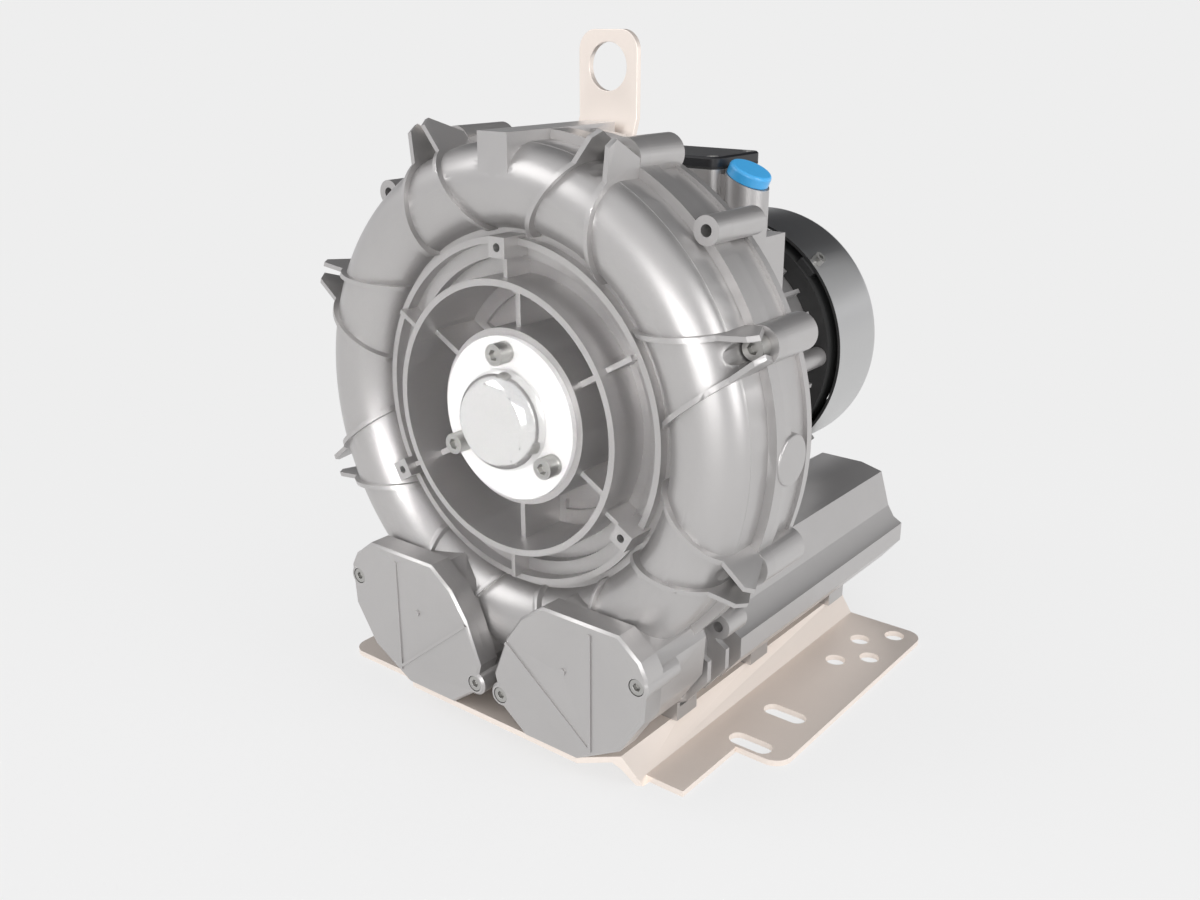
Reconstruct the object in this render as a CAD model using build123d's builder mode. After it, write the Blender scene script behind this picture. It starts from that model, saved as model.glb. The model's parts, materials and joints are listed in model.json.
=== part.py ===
from build123d import *
import os
from math import cos, radians, sin, sqrt

os.makedirs("parts", exist_ok=True)

# Side channel blower, millimetres. The shaft lies along Y with the cover at the front (-Y).
# Depth is measured backwards from the front edge of the rim; height from the underside of the foot.
# The origin is on the floor, in the middle of the four slots in the foot.

# Fixing slots and holes in the foot
slot_column = 132.5
slot_row_front = 79.0
slot_row_rear = 122.0
slot_half_width = 6.5
slot_end_to_end = 30.0
hole_radius_foot = 7.0
hole_columns = (125.5, 143.0)
hole_rows = (206.0, 224.0, 244.0, 265.0)

# Where the shaft lies
shaft_height = 211.0
rim_front_y = -(slot_row_front + slot_row_rear) / 2

# Fits and running gaps
seat_gap = 0.05
running_gap = 0.05
land_gap = 0.7
contact_gap = 0.3

# Ring channel and the two housing halves; the section is two arcs that meet at the bulge
bulge_radius = 137.0
bulge_reach = 46.0
bulge_inner_arc = 27.5
bulge_outer_arc = 22.5
housing_wall = 5.0
split_depth = 44.0
crease_depth = 18.0
flange_radius = 165.0
flange_thickness = 9.0
band_radius = 163.0
band_recess_radius = 160.8
front_band = 6.0
rear_band_start = 27.0
rear_band_end = 32.0
ridge_half_width = 11.0
ridge_front = -1.0
stripper_half_angle = 16.0
seal_radius = 157.3
seal_half_width = 1.0
seal_depth = 2.0

# Rim, recess and hub of the front cover
rim_outer_radius = 84.0
rim_inner_radius = 80.0
recess_depth = 50.0
recess_floor = 6.0
groove_depth = 27.0
groove_step_radius = 94.0
groove_step_depth = 20.0
groove_outer_radius = 102.5
groove_web_front = 7.0
lip_radius = 106.5
lip_front = 12.0
hub_radius = 54.0
hub_front = 9.3
hub_rib_count = 6
hub_rib_thickness = 3.5
hub_rib_front = 17.0
hub_rib_angle = 30.0
floor_groove_inner = 63.5
floor_groove_outer = 70.5
floor_groove_depth = 3.0

# Tapped bosses between rim and lip
boss_circle_radius = 102.0
boss_width = 12.0
boss_hole_radius = 2.5
boss_hole_depth = 14.0
boss_angles = (90, 210, 330)

# Cover lugs, their screws and the pairs of ribs that spread from them
lug_count = 8
lug_start_angle = 22.5
lug_circle_radius = 164.5
lug_radius = 11.0
rib_thickness = 3.0
rib_height = 3.5
rib_reach_radius = 180.0
rib_shoulder_depth = 7.0
rib_lug_offset = 9.5
rib_spread_angle = 14.0

# Sizes of the socket head screws used on the machine
m8_radius = 4.0
m8_head_radius = 6.5
m8_head_height = 8.0
m6_radius = 3.0
m6_head_radius = 5.0
m6_head_height = 6.0
m5_radius = 2.5
m5_head_radius = 4.25
m5_head_height = 5.0
cover_screw_length = 24.0
socket_share = 0.85

# Shaft and ball bearings
shaft_radius = 12.5
shaft_front = 4.0
bearing_outer_radius = 26.0
bearing_width = 15.0
bearing_ball_radius = 3.95
bearing_ball_count = 9
inner_race_radius = 16.4
outer_race_radius = 22.1
cage_half_thickness = 0.8
cage_half_width = 5.0
front_bearing_depth = 15.0
seal_bore_radius = 20.0
shaft_seal_width = 7.0
nut_radius = 19.0
nut_length = 7.0
lock_washer_thickness = 1.2
bearing_cover_radius = 50.0
bearing_cover_thickness = 4.0
hub_cap_radius = 30.5
hub_cap_face_radius = 24.0
hub_cap_shoulder = (28.6, 5.0)
hub_cap_reach = 15.0
hub_cap_wall = 2.5
hub_screw_circle = 41.0
washer_thickness = 2.6
hub_screw_length = 20.0

# Impeller
impeller_tip_gap = 0.6
impeller_half_thickness = 11.0
impeller_core_inner = 104.0
impeller_core_outer = 115.0
impeller_web = 3.0
impeller_disc_edge = 87.0
impeller_cone_thickness = 7.8
impeller_disc = 6.0
impeller_hub_radius = 26.0
impeller_hub_length = 20.0
blade_count = 40
blade_thickness = 2.4
blade_sweep_angle = 9.0
key_width = 8.0
key_height = 7.0
key_length = 14.0

# Motor
motor_start = 72.0
motor_flange_radius = 100.0
motor_flange_thickness = 8.0
motor_screw_circle = 91.0
motor_barrel_radius = 70.0
motor_bore_radius = 66.0
motor_end = 244.0
fin_count = 30
fin_radius = 82.0
fin_thickness = 3.0
fin_start = 82.0
fin_end = 230.0
back_boss_radius = 38.0
back_boss_end = 86.0
back_recess_radius = 30.0
back_recess_end = 78.5
land_inner_radius = 104.0
stator_inner_radius = 42.0
stator_start = 116.0
stator_length = 80.0
air_gap = 0.6
winding_inner_radius = 45.0
winding_outer_radius = 61.0
winding_length = 18.0
slot_count = 24
slot_circle_radius = 52.0
slot_hole_radius = 3.0
shield_radius = 84.0
shield_thickness = 8.0
shield_hub_radius = 34.0
shield_hub_end = 262.0
shield_screw_circle = 76.0
shield_boss_radius = 7.0
shield_boss_length = 30.0
cowl_lug_count = 4
cowl_lug_width = 14.0
cowl_screw_depth = 256.0
spring_thickness = 1.5
fan_radius = 74.0
fan_hub_radius = 20.0
fan_start = 266.0
fan_length = 20.0
fan_blade_count = 9
fan_blade_thickness = 2.5
cowl_radius = 91.0
cowl_wall = 2.0
cowl_start = 249.0
cowl_end = 312.0
cowl_corner = 12.0
grille_rings = (22, 34, 46, 58, 70)
grille_slot_width = 7.0
grille_ribs = 6
grille_rib_width = 7.0
clip_thickness = 1.5
clip_radius = 16.0

# Terminal box on the motor, heights above the shaft
box_saddle_left = -60.0
box_saddle_right = 70.0
box_saddle_top = 105.0
box_saddle_front = 140.0
box_saddle_rear = 200.0
box_left = -54.0
box_right = 30.0
box_front = 176.0
box_rear = 234.0
box_bottom = 92.0
box_top = 131.0
box_wall = 3.0
box_corner = 7.0
gasket_thickness = 1.5
lid_thickness = 6.5
entry_x = 45.0
entry_depth = 191.0
entry_radius = 14.5
entry_height = 125.0
entry_bridge_half_width = 9.0
entry_tilt = 24.0
entry_bore_radius = 10.5
plug_thickness = 8.0
lid_screw_inset = 7.0
wire_hole = (30.0, 12.0)
wire_depth = 188.0
block_front = 204.0
entry_bore_length = 22.0

# Silencers under the ring, heights below the shaft
silencer_centre_x = 61.0
silencer_centre_z = -146.0
silencer_bottom = -192.0
silencer_front = -12.0
silencer_rear = 321.0
silencer_wall = 4.5
silencer_end_wall = 8.0
tube_start = 88.0
neck_chamber_start = 58.0
gusset_depths = (50.0, 70.0)
gusset_thickness = 4.0
front_chamber_end = 20.0
silencer_lip = 8.0
silencer_lip_overhang = 3.0
silencer_screw_places = ((11.0, -171.0), (115.0, -127.0))
silencer_ear_radius = 8.0
silencer_ear_length = 24.0
silencer_screw_length = 22.0
silencer_head_sink = 6.3
silencer_cover_thickness = 8.0
cover_rib_height = 1.0
cover_rib_width = 2.0
cover_edge_chamfer = 1.5
absorber_outer_radius = 37.0
absorber_inner_radius = 25.0
absorber_clearance = 1.0
absorber_start = 96.0
port_bore_radius = 23.0
port_sleeve_radius = 29.0
port_plate_thickness = 8.0
port_plate_radius = 40.0
port_screw_circle = 34.5

# Foot and lifting lug, both folded from sheet
foot_sheet = 4.0
foot_platform_half_width = 90.5
foot_bend_half_width = 103.0
foot_narrow_half_width = 127.5
foot_half_width = 160.0
foot_front = 11.0
foot_tab_front = 70.0
foot_rear = 279.0
foot_nose = -18.0
foot_nose_half_width = 70.5
foot_nose_side = -1.0
foot_tab_corner = 12.0
foot_screw_x = 84.0
foot_screw_depths = (62.0, 150.0, 262.0)
foot_lug_height = 9.0
foot_lug_reach = 11.0
foot_notch_half_width = 8.0
foot_notch_height = 9.0
foot_notch_roof = 3.0
foot_collar_radius = 7.0
foot_collar_height = 6.0
foot_screw_length = 18.0
foot_left_front = 5.0
lug_plate_half_width = 21.7
lug_sheet = 4.0
lug_hole_radius = 14.0
lug_hole_height = 196.0
lug_top = 217.0
lug_bend_top = 167.0
lug_bend_bottom = 149.0
lug_tab_bottom = 122.0
lug_pad_depth = 94.0
lug_plate_depth = 101.0
lug_top_corner = 12.0
lug_screw_x = 12.0
lug_screw_height = 136.0
lug_screw_length = 11.0
spare_boss_circle = 169.0
spare_boss_radius = 8.0
spare_boss_hole = 3.4
spare_boss_length = 14.0
low_boss_front = 56.0

# Sizes that follow from the ones above
torus_outer_radius = bulge_radius + bulge_outer_arc
channel_outer_radius = torus_outer_radius - housing_wall
crease_radius = bulge_radius - sqrt(
    bulge_inner_arc**2 - (split_depth - bulge_reach + bulge_inner_arc - crease_depth) ** 2
)
impeller_radius = channel_outer_radius - impeller_tip_gap
land_front = split_depth - impeller_half_thickness - land_gap
land_rear = split_depth + impeller_half_thickness + land_gap
front_wall_back = recess_depth + recess_floor
ridge_top = flange_radius
rear_band_back = split_depth + rear_band_end
chamber_start = tube_start + silencer_wall
bearing_seat_end = front_bearing_depth + bearing_width
disc_front = front_wall_back + 2.0
disc_back = disc_front + impeller_disc
back_wall_front = disc_back + 2.0
hub_back = disc_front + impeller_hub_length - 1.5
platform_top = shaft_height + silencer_bottom
cover_front = hub_front - bearing_cover_thickness
rear_bearing_depth = motor_end - 6.0
rear_seat_end = rear_bearing_depth + bearing_width + spring_thickness
shaft_end = fan_start + fan_length + 4.0
cone_foot = impeller_disc_edge + disc_front
port_end = silencer_rear + port_plate_thickness
foot_lug_top = silencer_bottom + foot_lug_height
foot_lug_inside = foot_lug_top + foot_notch_height + foot_notch_roof
absorber_notch_top = foot_lug_inside + absorber_clearance
box_middle_x = (box_left + box_right) / 2
stator_end = stator_start + stator_length
m8 = (m8_radius, m8_head_radius, m8_head_height)
m6 = (m6_radius, m6_head_radius, m6_head_height)
m5 = (m5_radius, m5_head_radius, m5_head_height)
silencer_cover_front = silencer_front - silencer_cover_thickness


def behind(depth, x=0.0, z=0.0):
    """Upright plane at a depth behind the rim; its own x is +X, its own y is up."""
    return Plane(
        origin=(x, rim_front_y + depth, shaft_height + z), x_dir=(1, 0, 0), z_dir=(0, -1, 0)
    )


def facing_back(depth):
    """Upright plane that faces backwards; its own x is -X, its own y is up."""
    return Plane(
        origin=(0, rim_front_y + depth, shaft_height), x_dir=(-1, 0, 0), z_dir=(0, 1, 0)
    )


def over(z, x=0.0, depth=0.0):
    """Level plane at a height from the shaft; its own y runs backwards."""
    return Plane(origin=(x, rim_front_y + depth, shaft_height + z))


def on_circle(radius, angle):
    """Point on a circle round the shaft, angle in degrees from +X towards up."""
    return (radius * cos(radians(angle)), radius * sin(radians(angle)))


shaft_axis = Axis((0, rim_front_y, shaft_height), (0, 1, 0))
radial = Plane(origin=(0, rim_front_y, shaft_height))
lug_angles = [lug_start_angle + 360 / lug_count * i for i in range(lug_count)]
entry_plane = Plane(
    origin=(entry_x, rim_front_y + entry_depth, shaft_height + entry_height),
    z_dir=(sin(radians(entry_tilt)), 0, cos(radians(entry_tilt))),
)


def disc(radius, start, end, bore=0.0, x=0.0, z=0.0, mode=Mode.ADD):
    """Round disc or ring along the shaft direction, added to the part being built."""
    with BuildSketch(behind(end, x, z)) as outline:
        Circle(radius)
        if bore:
            Circle(bore, mode=Mode.SUBTRACT)
    extrude(outline.sketch, amount=end - start, mode=mode)


def block(x_range, depth_range, z_range, mode=Mode.ADD):
    """Plain block between two x, two depths and two heights from the shaft."""
    x, depth, z = [sum(pair) / 2 for pair in (x_range, depth_range, z_range)]
    with Locations((x, rim_front_y + depth, shaft_height + z)):
        Box(
            x_range[1] - x_range[0], depth_range[1] - depth_range[0], z_range[1] - z_range[0],
            mode=mode,
        )


def post(radius, x, depth, bottom, top, mode=Mode.ADD):
    """Upright round post between two heights from the shaft."""
    with BuildSketch(over(bottom, x, depth)) as outline:
        Circle(radius)
    extrude(outline.sketch, amount=top - bottom, mode=mode)


def screws(seat, places, size, length):
    """Socket head screws with their heads on the seat plane, one solid at each place."""
    shank_radius, head_radius, head_height = size
    with BuildPart() as made:
        with BuildSketch(seat) as heads:
            with Locations(*places):
                Circle(head_radius)
        extrude(heads.sketch, amount=head_height)
        with BuildSketch(seat.offset(head_height)) as sockets:
            with Locations(*places):
                RegularPolygon(shank_radius * socket_share, 6)
        extrude(sockets.sketch, amount=-head_height / 2, mode=Mode.SUBTRACT)
        with BuildSketch(seat) as shanks:
            with Locations(*places):
                Circle(shank_radius - seat_gap)
        extrude(shanks.sketch, amount=-length)
    return made


def save(builder, name):
    """Label a finished piece and write it to its own file."""
    builder.part.label = name
    export_step(builder.part, f"parts/{name}.step")


# Section of the silencer behind its cover, as points round the outline from the shaft
cover_outline = [
    (31, silencer_bottom), (71, silencer_bottom), (103, -174), (120, -148), (122, -120),
    (117, -111), (102, -99.5), (46, -99.5), (29, -112), (17, -129), (6, -157), (12, -178),
]
tube_outline = [
    (31, silencer_bottom), (71, silencer_bottom), (103, -174), (117, -156), (117, -142),
    (110, -138), (105, -130), (97, -104), (80, -100), (46, -100), (29, -112), (17, -129),
    (6, -157), (12, -178),
]
neck_outline = [
    (31, silencer_bottom), (71, silencer_bottom), (98, -174), (104, -158), (104, -140),
    (97, -118), (80, -100), (46, -100), (29, -112), (17, -129), (6, -157), (12, -178),
]


def silencer_face(points, side, depth, inset=0.0):
    """Closed silencer section on one side, +1 right or -1 left, drawn in by an inset."""
    with BuildSketch(behind(depth)) as face:
        Polygon(*[(side * x, z) for x, z in points], align=None)
        if inset:
            offset(amount=-inset, kind=Kind.INTERSECTION, mode=Mode.REPLACE)
    return face.sketch


def torus_face(inset, side):
    """Half section of the torus, drawn in by an inset; side is -1 in front of the split, 1 behind."""
    inner = bulge_inner_arc - inset
    outer = bulge_outer_arc - inset
    inner_depth = split_depth + side * (bulge_reach - bulge_inner_arc)
    outer_depth = split_depth + side * (bulge_reach - bulge_outer_arc)
    bulge_depth = split_depth + side * (bulge_reach - inset)
    with BuildSketch(radial) as face:
        with BuildLine():
            RadiusArc(
                (bulge_radius - inner, inner_depth), (bulge_radius, bulge_depth), side * inner
            )
            RadiusArc(
                (bulge_radius, bulge_depth), (bulge_radius + outer, outer_depth), side * outer
            )
            Polyline(
                (bulge_radius + outer, outer_depth), (bulge_radius + outer, split_depth),
                (bulge_radius - inner, split_depth), (bulge_radius - inner, inner_depth),
            )
        make_face()
    return face.sketch_local


def channel_tool(side):
    """Half of the ring channel, open from one side of the stripper round to the other."""
    open_angle = 360 - 2 * stripper_half_angle
    with BuildSketch(radial) as face:
        add(torus_face(housing_wall, side))
    with BuildPart() as tool:
        revolve(face.sketch, axis=shaft_axis, revolution_arc=open_angle)
    return tool.part.rotate(shaft_axis, 90 - stripper_half_angle)


def cowl_plane(angle):
    """Plane on the outside of the fan cowl that faces outwards at an angle."""
    x, z = on_circle(cowl_radius, angle)
    return Plane(
        origin=(x, rim_front_y + cowl_screw_depth, shaft_height + z), z_dir=(x, 0, z)
    )


def cowl_hole(angle):
    """Radial hole for one cowl screw through the cowl and its lug."""
    with BuildPart() as hole:
        with BuildSketch(cowl_plane(angle)) as outline:
            Circle(m5_radius)
        extrude(outline.sketch, amount=-cowl_lug_width)
    return hole.part


def spare_bosses(start, end, angles):
    """Small bosses on the flange edge between two depths, each with a hole."""
    with BuildPart() as bosses:
        for angle in angles:
            x, z = on_circle(spare_boss_circle, angle)
            disc(spare_boss_radius, start, end, bore=spare_boss_hole, x=x, z=z)
    return bosses.part


def rib_blanks():
    """Straight plates that run from each lug to the crease, cut to shape afterwards."""
    spread_x, spread_z = on_circle(crease_radius - 1, rib_spread_angle)
    reach_x = rib_reach_radius + 2
    slope = (spread_z - rib_lug_offset) / (spread_x - lug_circle_radius)
    with BuildSketch(behind(split_depth)) as plates:
        with PolarLocations(0, lug_count, lug_start_angle):
            for side in (1, -1):
                inner = (spread_x, side * spread_z)
                outer = (reach_x, side * (rib_lug_offset + slope * (reach_x - lug_circle_radius)))
                Polygon(
                    (inner[0], inner[1] - rib_thickness / 2),
                    (outer[0], outer[1] - rib_thickness / 2),
                    (outer[0], outer[1] + rib_thickness / 2),
                    (inner[0], inner[1] + rib_thickness / 2),
                    align=None,
                )
    return plates.sketch


def cover_ribs():
    """Pairs of ribs over the torus of the front cover."""
    with BuildPart() as ribs:
        extrude(rib_blanks(), amount=split_depth + 10)
        with BuildSketch(radial) as envelope:
            add(torus_face(-rib_height, -1))
            with BuildLine():
                Polyline(
                    (bulge_radius, rib_shoulder_depth), (rib_reach_radius - 4, rib_shoulder_depth),
                    (rib_reach_radius, rib_shoulder_depth + 6),
                    (flange_radius, split_depth), (bulge_radius, split_depth), close=True,
                )
            make_face()
            add(torus_face(1.0, -1), mode=Mode.SUBTRACT)
            with Locations((crease_radius, crease_depth)):
                Rectangle(20, 60, align=(Align.CENTER, Align.MIN), mode=Mode.SUBTRACT)
        revolve(envelope.sketch, axis=shaft_axis, mode=Mode.INTERSECT)
    return ribs.part


def front_cover_section():
    """Half section of the front cover: torus, lip, groove, rim, recess and hub."""
    with BuildSketch(radial) as section:
        add(torus_face(0, -1))
        with BuildLine():
            Polyline(
                (hub_radius, hub_front), (hub_radius, recess_depth),
                (rim_inner_radius, recess_depth), (rim_inner_radius, 0), (rim_outer_radius, 0),
                (rim_outer_radius, groove_depth), (groove_step_radius, groove_depth),
                (groove_step_radius, groove_step_depth),
                (groove_outer_radius, groove_step_depth), (groove_outer_radius, lip_front),
                (lip_radius, lip_front), (lip_radius, crease_depth),
                (bulge_radius, crease_depth),
                (bulge_radius, land_front), (rim_outer_radius + 2, land_front),
                (rim_outer_radius + 2, front_wall_back), (seal_bore_radius, front_wall_back),
                (seal_bore_radius, bearing_seat_end), (bearing_outer_radius, bearing_seat_end),
                (bearing_outer_radius, hub_front), close=True,
            )
        make_face()
        with Locations((flange_radius, split_depth)):
            Rectangle(
                flange_radius - bulge_radius, flange_thickness, align=(Align.MAX, Align.MAX)
            )
        with Locations((bulge_radius, split_depth)):
            Rectangle(
                2 * (bulge_radius - rim_outer_radius - 2), split_depth - land_front,
                align=(Align.CENTER, Align.MAX), mode=Mode.SUBTRACT,
            )
        with Locations((torus_outer_radius, split_depth)):
            Rectangle(
                housing_wall, split_depth - crease_depth, align=(Align.MAX, Align.MAX)
            )
        with Locations((flange_radius, split_depth)):
            Rectangle(
                flange_radius - channel_outer_radius, flange_thickness,
                align=(Align.MAX, Align.MAX),
            )
    return section.sketch


front_channel = channel_tool(-1)
rear_channel = channel_tool(1)


with BuildPart() as front_cover:
    revolve(front_cover_section(), axis=shaft_axis)
    # Lugs on the flange, one at each cover screw
    with BuildSketch(behind(split_depth)) as lug_outline:
        with PolarLocations(lug_circle_radius, lug_count, lug_start_angle):
            Circle(lug_radius)
    extrude(lug_outline.sketch, amount=flange_thickness)
    add(cover_ribs())
    # Front boxes of the two silencers
    for side in (1, -1):
        extrude(
            silencer_face(cover_outline, side, split_depth, inset=silencer_lip_overhang),
            amount=split_depth - silencer_front,
        )
        extrude(
            silencer_face(cover_outline, side, silencer_front + silencer_lip), amount=silencer_lip
        )
    add(spare_bosses(split_depth - spare_boss_length, split_depth, (45, 135)))
    # Flat ridge over the top, in front of the lifting lug
    block((-ridge_half_width, ridge_half_width), (ridge_front, split_depth),
          (bulge_radius, ridge_top))
    # Torus and impeller space, taken out of the boxes again
    add(front_channel, mode=Mode.SUBTRACT)
    disc(channel_outer_radius, land_front, split_depth, bore=rim_outer_radius + 2,
         mode=Mode.SUBTRACT)
    # Silencer chambers, open to the front under their covers
    for side in (1, -1):
        extrude(
            silencer_face(
                cover_outline, side, front_chamber_end,
                inset=silencer_lip_overhang + silencer_wall,
            ),
            amount=front_chamber_end - silencer_front, mode=Mode.SUBTRACT,
        )
        for x, z in silencer_screw_places:
            disc(silencer_ear_radius, silencer_front, silencer_front + silencer_ear_length,
                 x=side * x, z=z)
            disc(m6_radius, silencer_front, silencer_front + silencer_ear_length - 2,
                 x=side * x, z=z, mode=Mode.SUBTRACT)
    # Six ribs that tie the hub to the rim
    with BuildSketch(behind(recess_depth + 1)) as hub_ribs:
        with PolarLocations((hub_radius + rim_inner_radius) / 2, hub_rib_count, hub_rib_angle):
            Rectangle(rim_inner_radius - hub_radius + 2, hub_rib_thickness)
    extrude(hub_ribs.sketch, amount=recess_depth + 1 - hub_rib_front)
    # Short webs across the groove, in line with the hub ribs
    with BuildSketch(behind(groove_depth + 1)) as groove_webs:
        with PolarLocations(
            (rim_outer_radius + groove_outer_radius) / 2, hub_rib_count, hub_rib_angle
        ):
            Rectangle(groove_outer_radius - rim_outer_radius + 2, rib_thickness)
    extrude(groove_webs.sketch, amount=groove_depth + 1 - groove_web_front)
    # Bosses with tapped holes on the lip
    with BuildSketch(behind(groove_depth + 1)) as bosses:
        with PolarLocations(boss_circle_radius, len(boss_angles), boss_angles[0]):
            Rectangle(boss_width, boss_width)
    extrude(bosses.sketch, amount=groove_depth + 1)
    with BuildSketch(behind(boss_hole_depth)) as boss_holes:
        with PolarLocations(boss_circle_radius, len(boss_angles), boss_angles[0]):
            Circle(boss_hole_radius)
    extrude(boss_holes.sketch, amount=boss_hole_depth + 1, mode=Mode.SUBTRACT)
    # Grooves in the floor of the recess, between the hub ribs
    with BuildSketch(behind(recess_depth + floor_groove_depth)) as floor_grooves:
        Circle(floor_groove_outer)
        Circle(floor_groove_inner, mode=Mode.SUBTRACT)
        with PolarLocations(floor_groove_inner, hub_rib_count, hub_rib_angle):
            Rectangle(4 * hub_rib_thickness, 4 * hub_rib_thickness, mode=Mode.SUBTRACT)
    extrude(floor_grooves.sketch, amount=floor_groove_depth + 1, mode=Mode.SUBTRACT)
    # Holes for the cover screws and the hub screws
    with BuildSketch(behind(split_depth)) as screw_holes:
        with PolarLocations(lug_circle_radius, lug_count, lug_start_angle):
            Circle(m8_radius + contact_gap)
    extrude(screw_holes.sketch, amount=flange_thickness, mode=Mode.SUBTRACT)
    with BuildSketch(behind(split_depth - flange_thickness)) as head_room:
        with PolarLocations(lug_circle_radius, lug_count, lug_start_angle):
            Circle(m8_head_radius + 1.0)
    extrude(head_room.sketch, amount=split_depth, mode=Mode.SUBTRACT)
    with BuildSketch(behind(hub_front + hub_screw_length)) as hub_holes:
        with PolarLocations(hub_screw_circle, len(boss_angles), boss_angles[0]):
            Circle(m8_radius)
    extrude(hub_holes.sketch, amount=hub_screw_length, mode=Mode.SUBTRACT)
save(front_cover, "front_cover")


def rear_ribs():
    """Plain ribs over the back of the rear housing, one at each lug."""
    with BuildPart() as ribs:
        with BuildSketch(behind(split_depth + bulge_reach + rib_height)) as plates:
            with PolarLocations(bulge_radius, lug_count, lug_start_angle):
                Rectangle(2 * (flange_radius - bulge_radius), rib_thickness)
        extrude(plates.sketch, amount=bulge_reach + rib_height - rear_band_start)
        with BuildSketch(radial) as envelope:
            add(torus_face(-rib_height, 1))
            with BuildLine():
                Polyline(
                    (bulge_radius, split_depth), (band_radius, split_depth),
                    (band_radius, rear_band_back),
                    (bulge_radius, split_depth + bulge_reach), close=True,
                )
            make_face()
            add(torus_face(1.0, 1), mode=Mode.SUBTRACT)
        revolve(envelope.sketch, axis=shaft_axis, mode=Mode.INTERSECT)
    return ribs.part


def rear_housing_section():
    """Half section of the rear housing: torus, bands, back wall and its centre boss."""
    with BuildSketch(radial) as section:
        add(torus_face(0, 1))
        for radius, start, end in (
            (flange_radius, 0, front_band),
            (band_recess_radius, front_band, rear_band_start),
            (band_radius, rear_band_start, rear_band_end),
        ):
            with Locations((bulge_radius, split_depth + start)):
                Rectangle(radius - bulge_radius, end - start, align=(Align.MIN, Align.MIN))
        with BuildLine():
            Polyline(
                (land_inner_radius, land_rear), (bulge_radius, land_rear),
                (bulge_radius, motor_start), (back_boss_radius, motor_start),
                (back_boss_radius, back_boss_end), (seal_bore_radius, back_boss_end),
                (seal_bore_radius, back_recess_end), (back_recess_radius, back_recess_end),
                (back_recess_radius, back_wall_front), (land_inner_radius, back_wall_front),
                close=True,
            )
        make_face()
    return section.sketch


def foot_lugs(side):
    """Lugs under one silencer box, each with a notch for a screw head and a hole."""
    for depth in foot_screw_depths:
        depths = (depth - foot_lug_reach, depth + foot_lug_reach)
        notch = (depth - foot_notch_half_width, depth + foot_notch_half_width)
        left, middle, right = sorted(
            [side * (foot_screw_x - foot_lug_reach), side * foot_screw_x,
             side * (foot_screw_x + foot_lug_reach)]
        )
        notch_top = foot_lug_top + foot_notch_height
        open_side = (middle, right) if side > 0 else (left, middle)
        block((left, right), depths, (silencer_bottom, foot_lug_inside))
        block(open_side, notch, (foot_lug_top, notch_top), Mode.SUBTRACT)
        post(foot_notch_half_width, side * foot_screw_x, depth, foot_lug_top, notch_top,
             Mode.SUBTRACT)
        post(m8_radius + contact_gap, side * foot_screw_x, depth, silencer_bottom,
             foot_lug_top, Mode.SUBTRACT)


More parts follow.
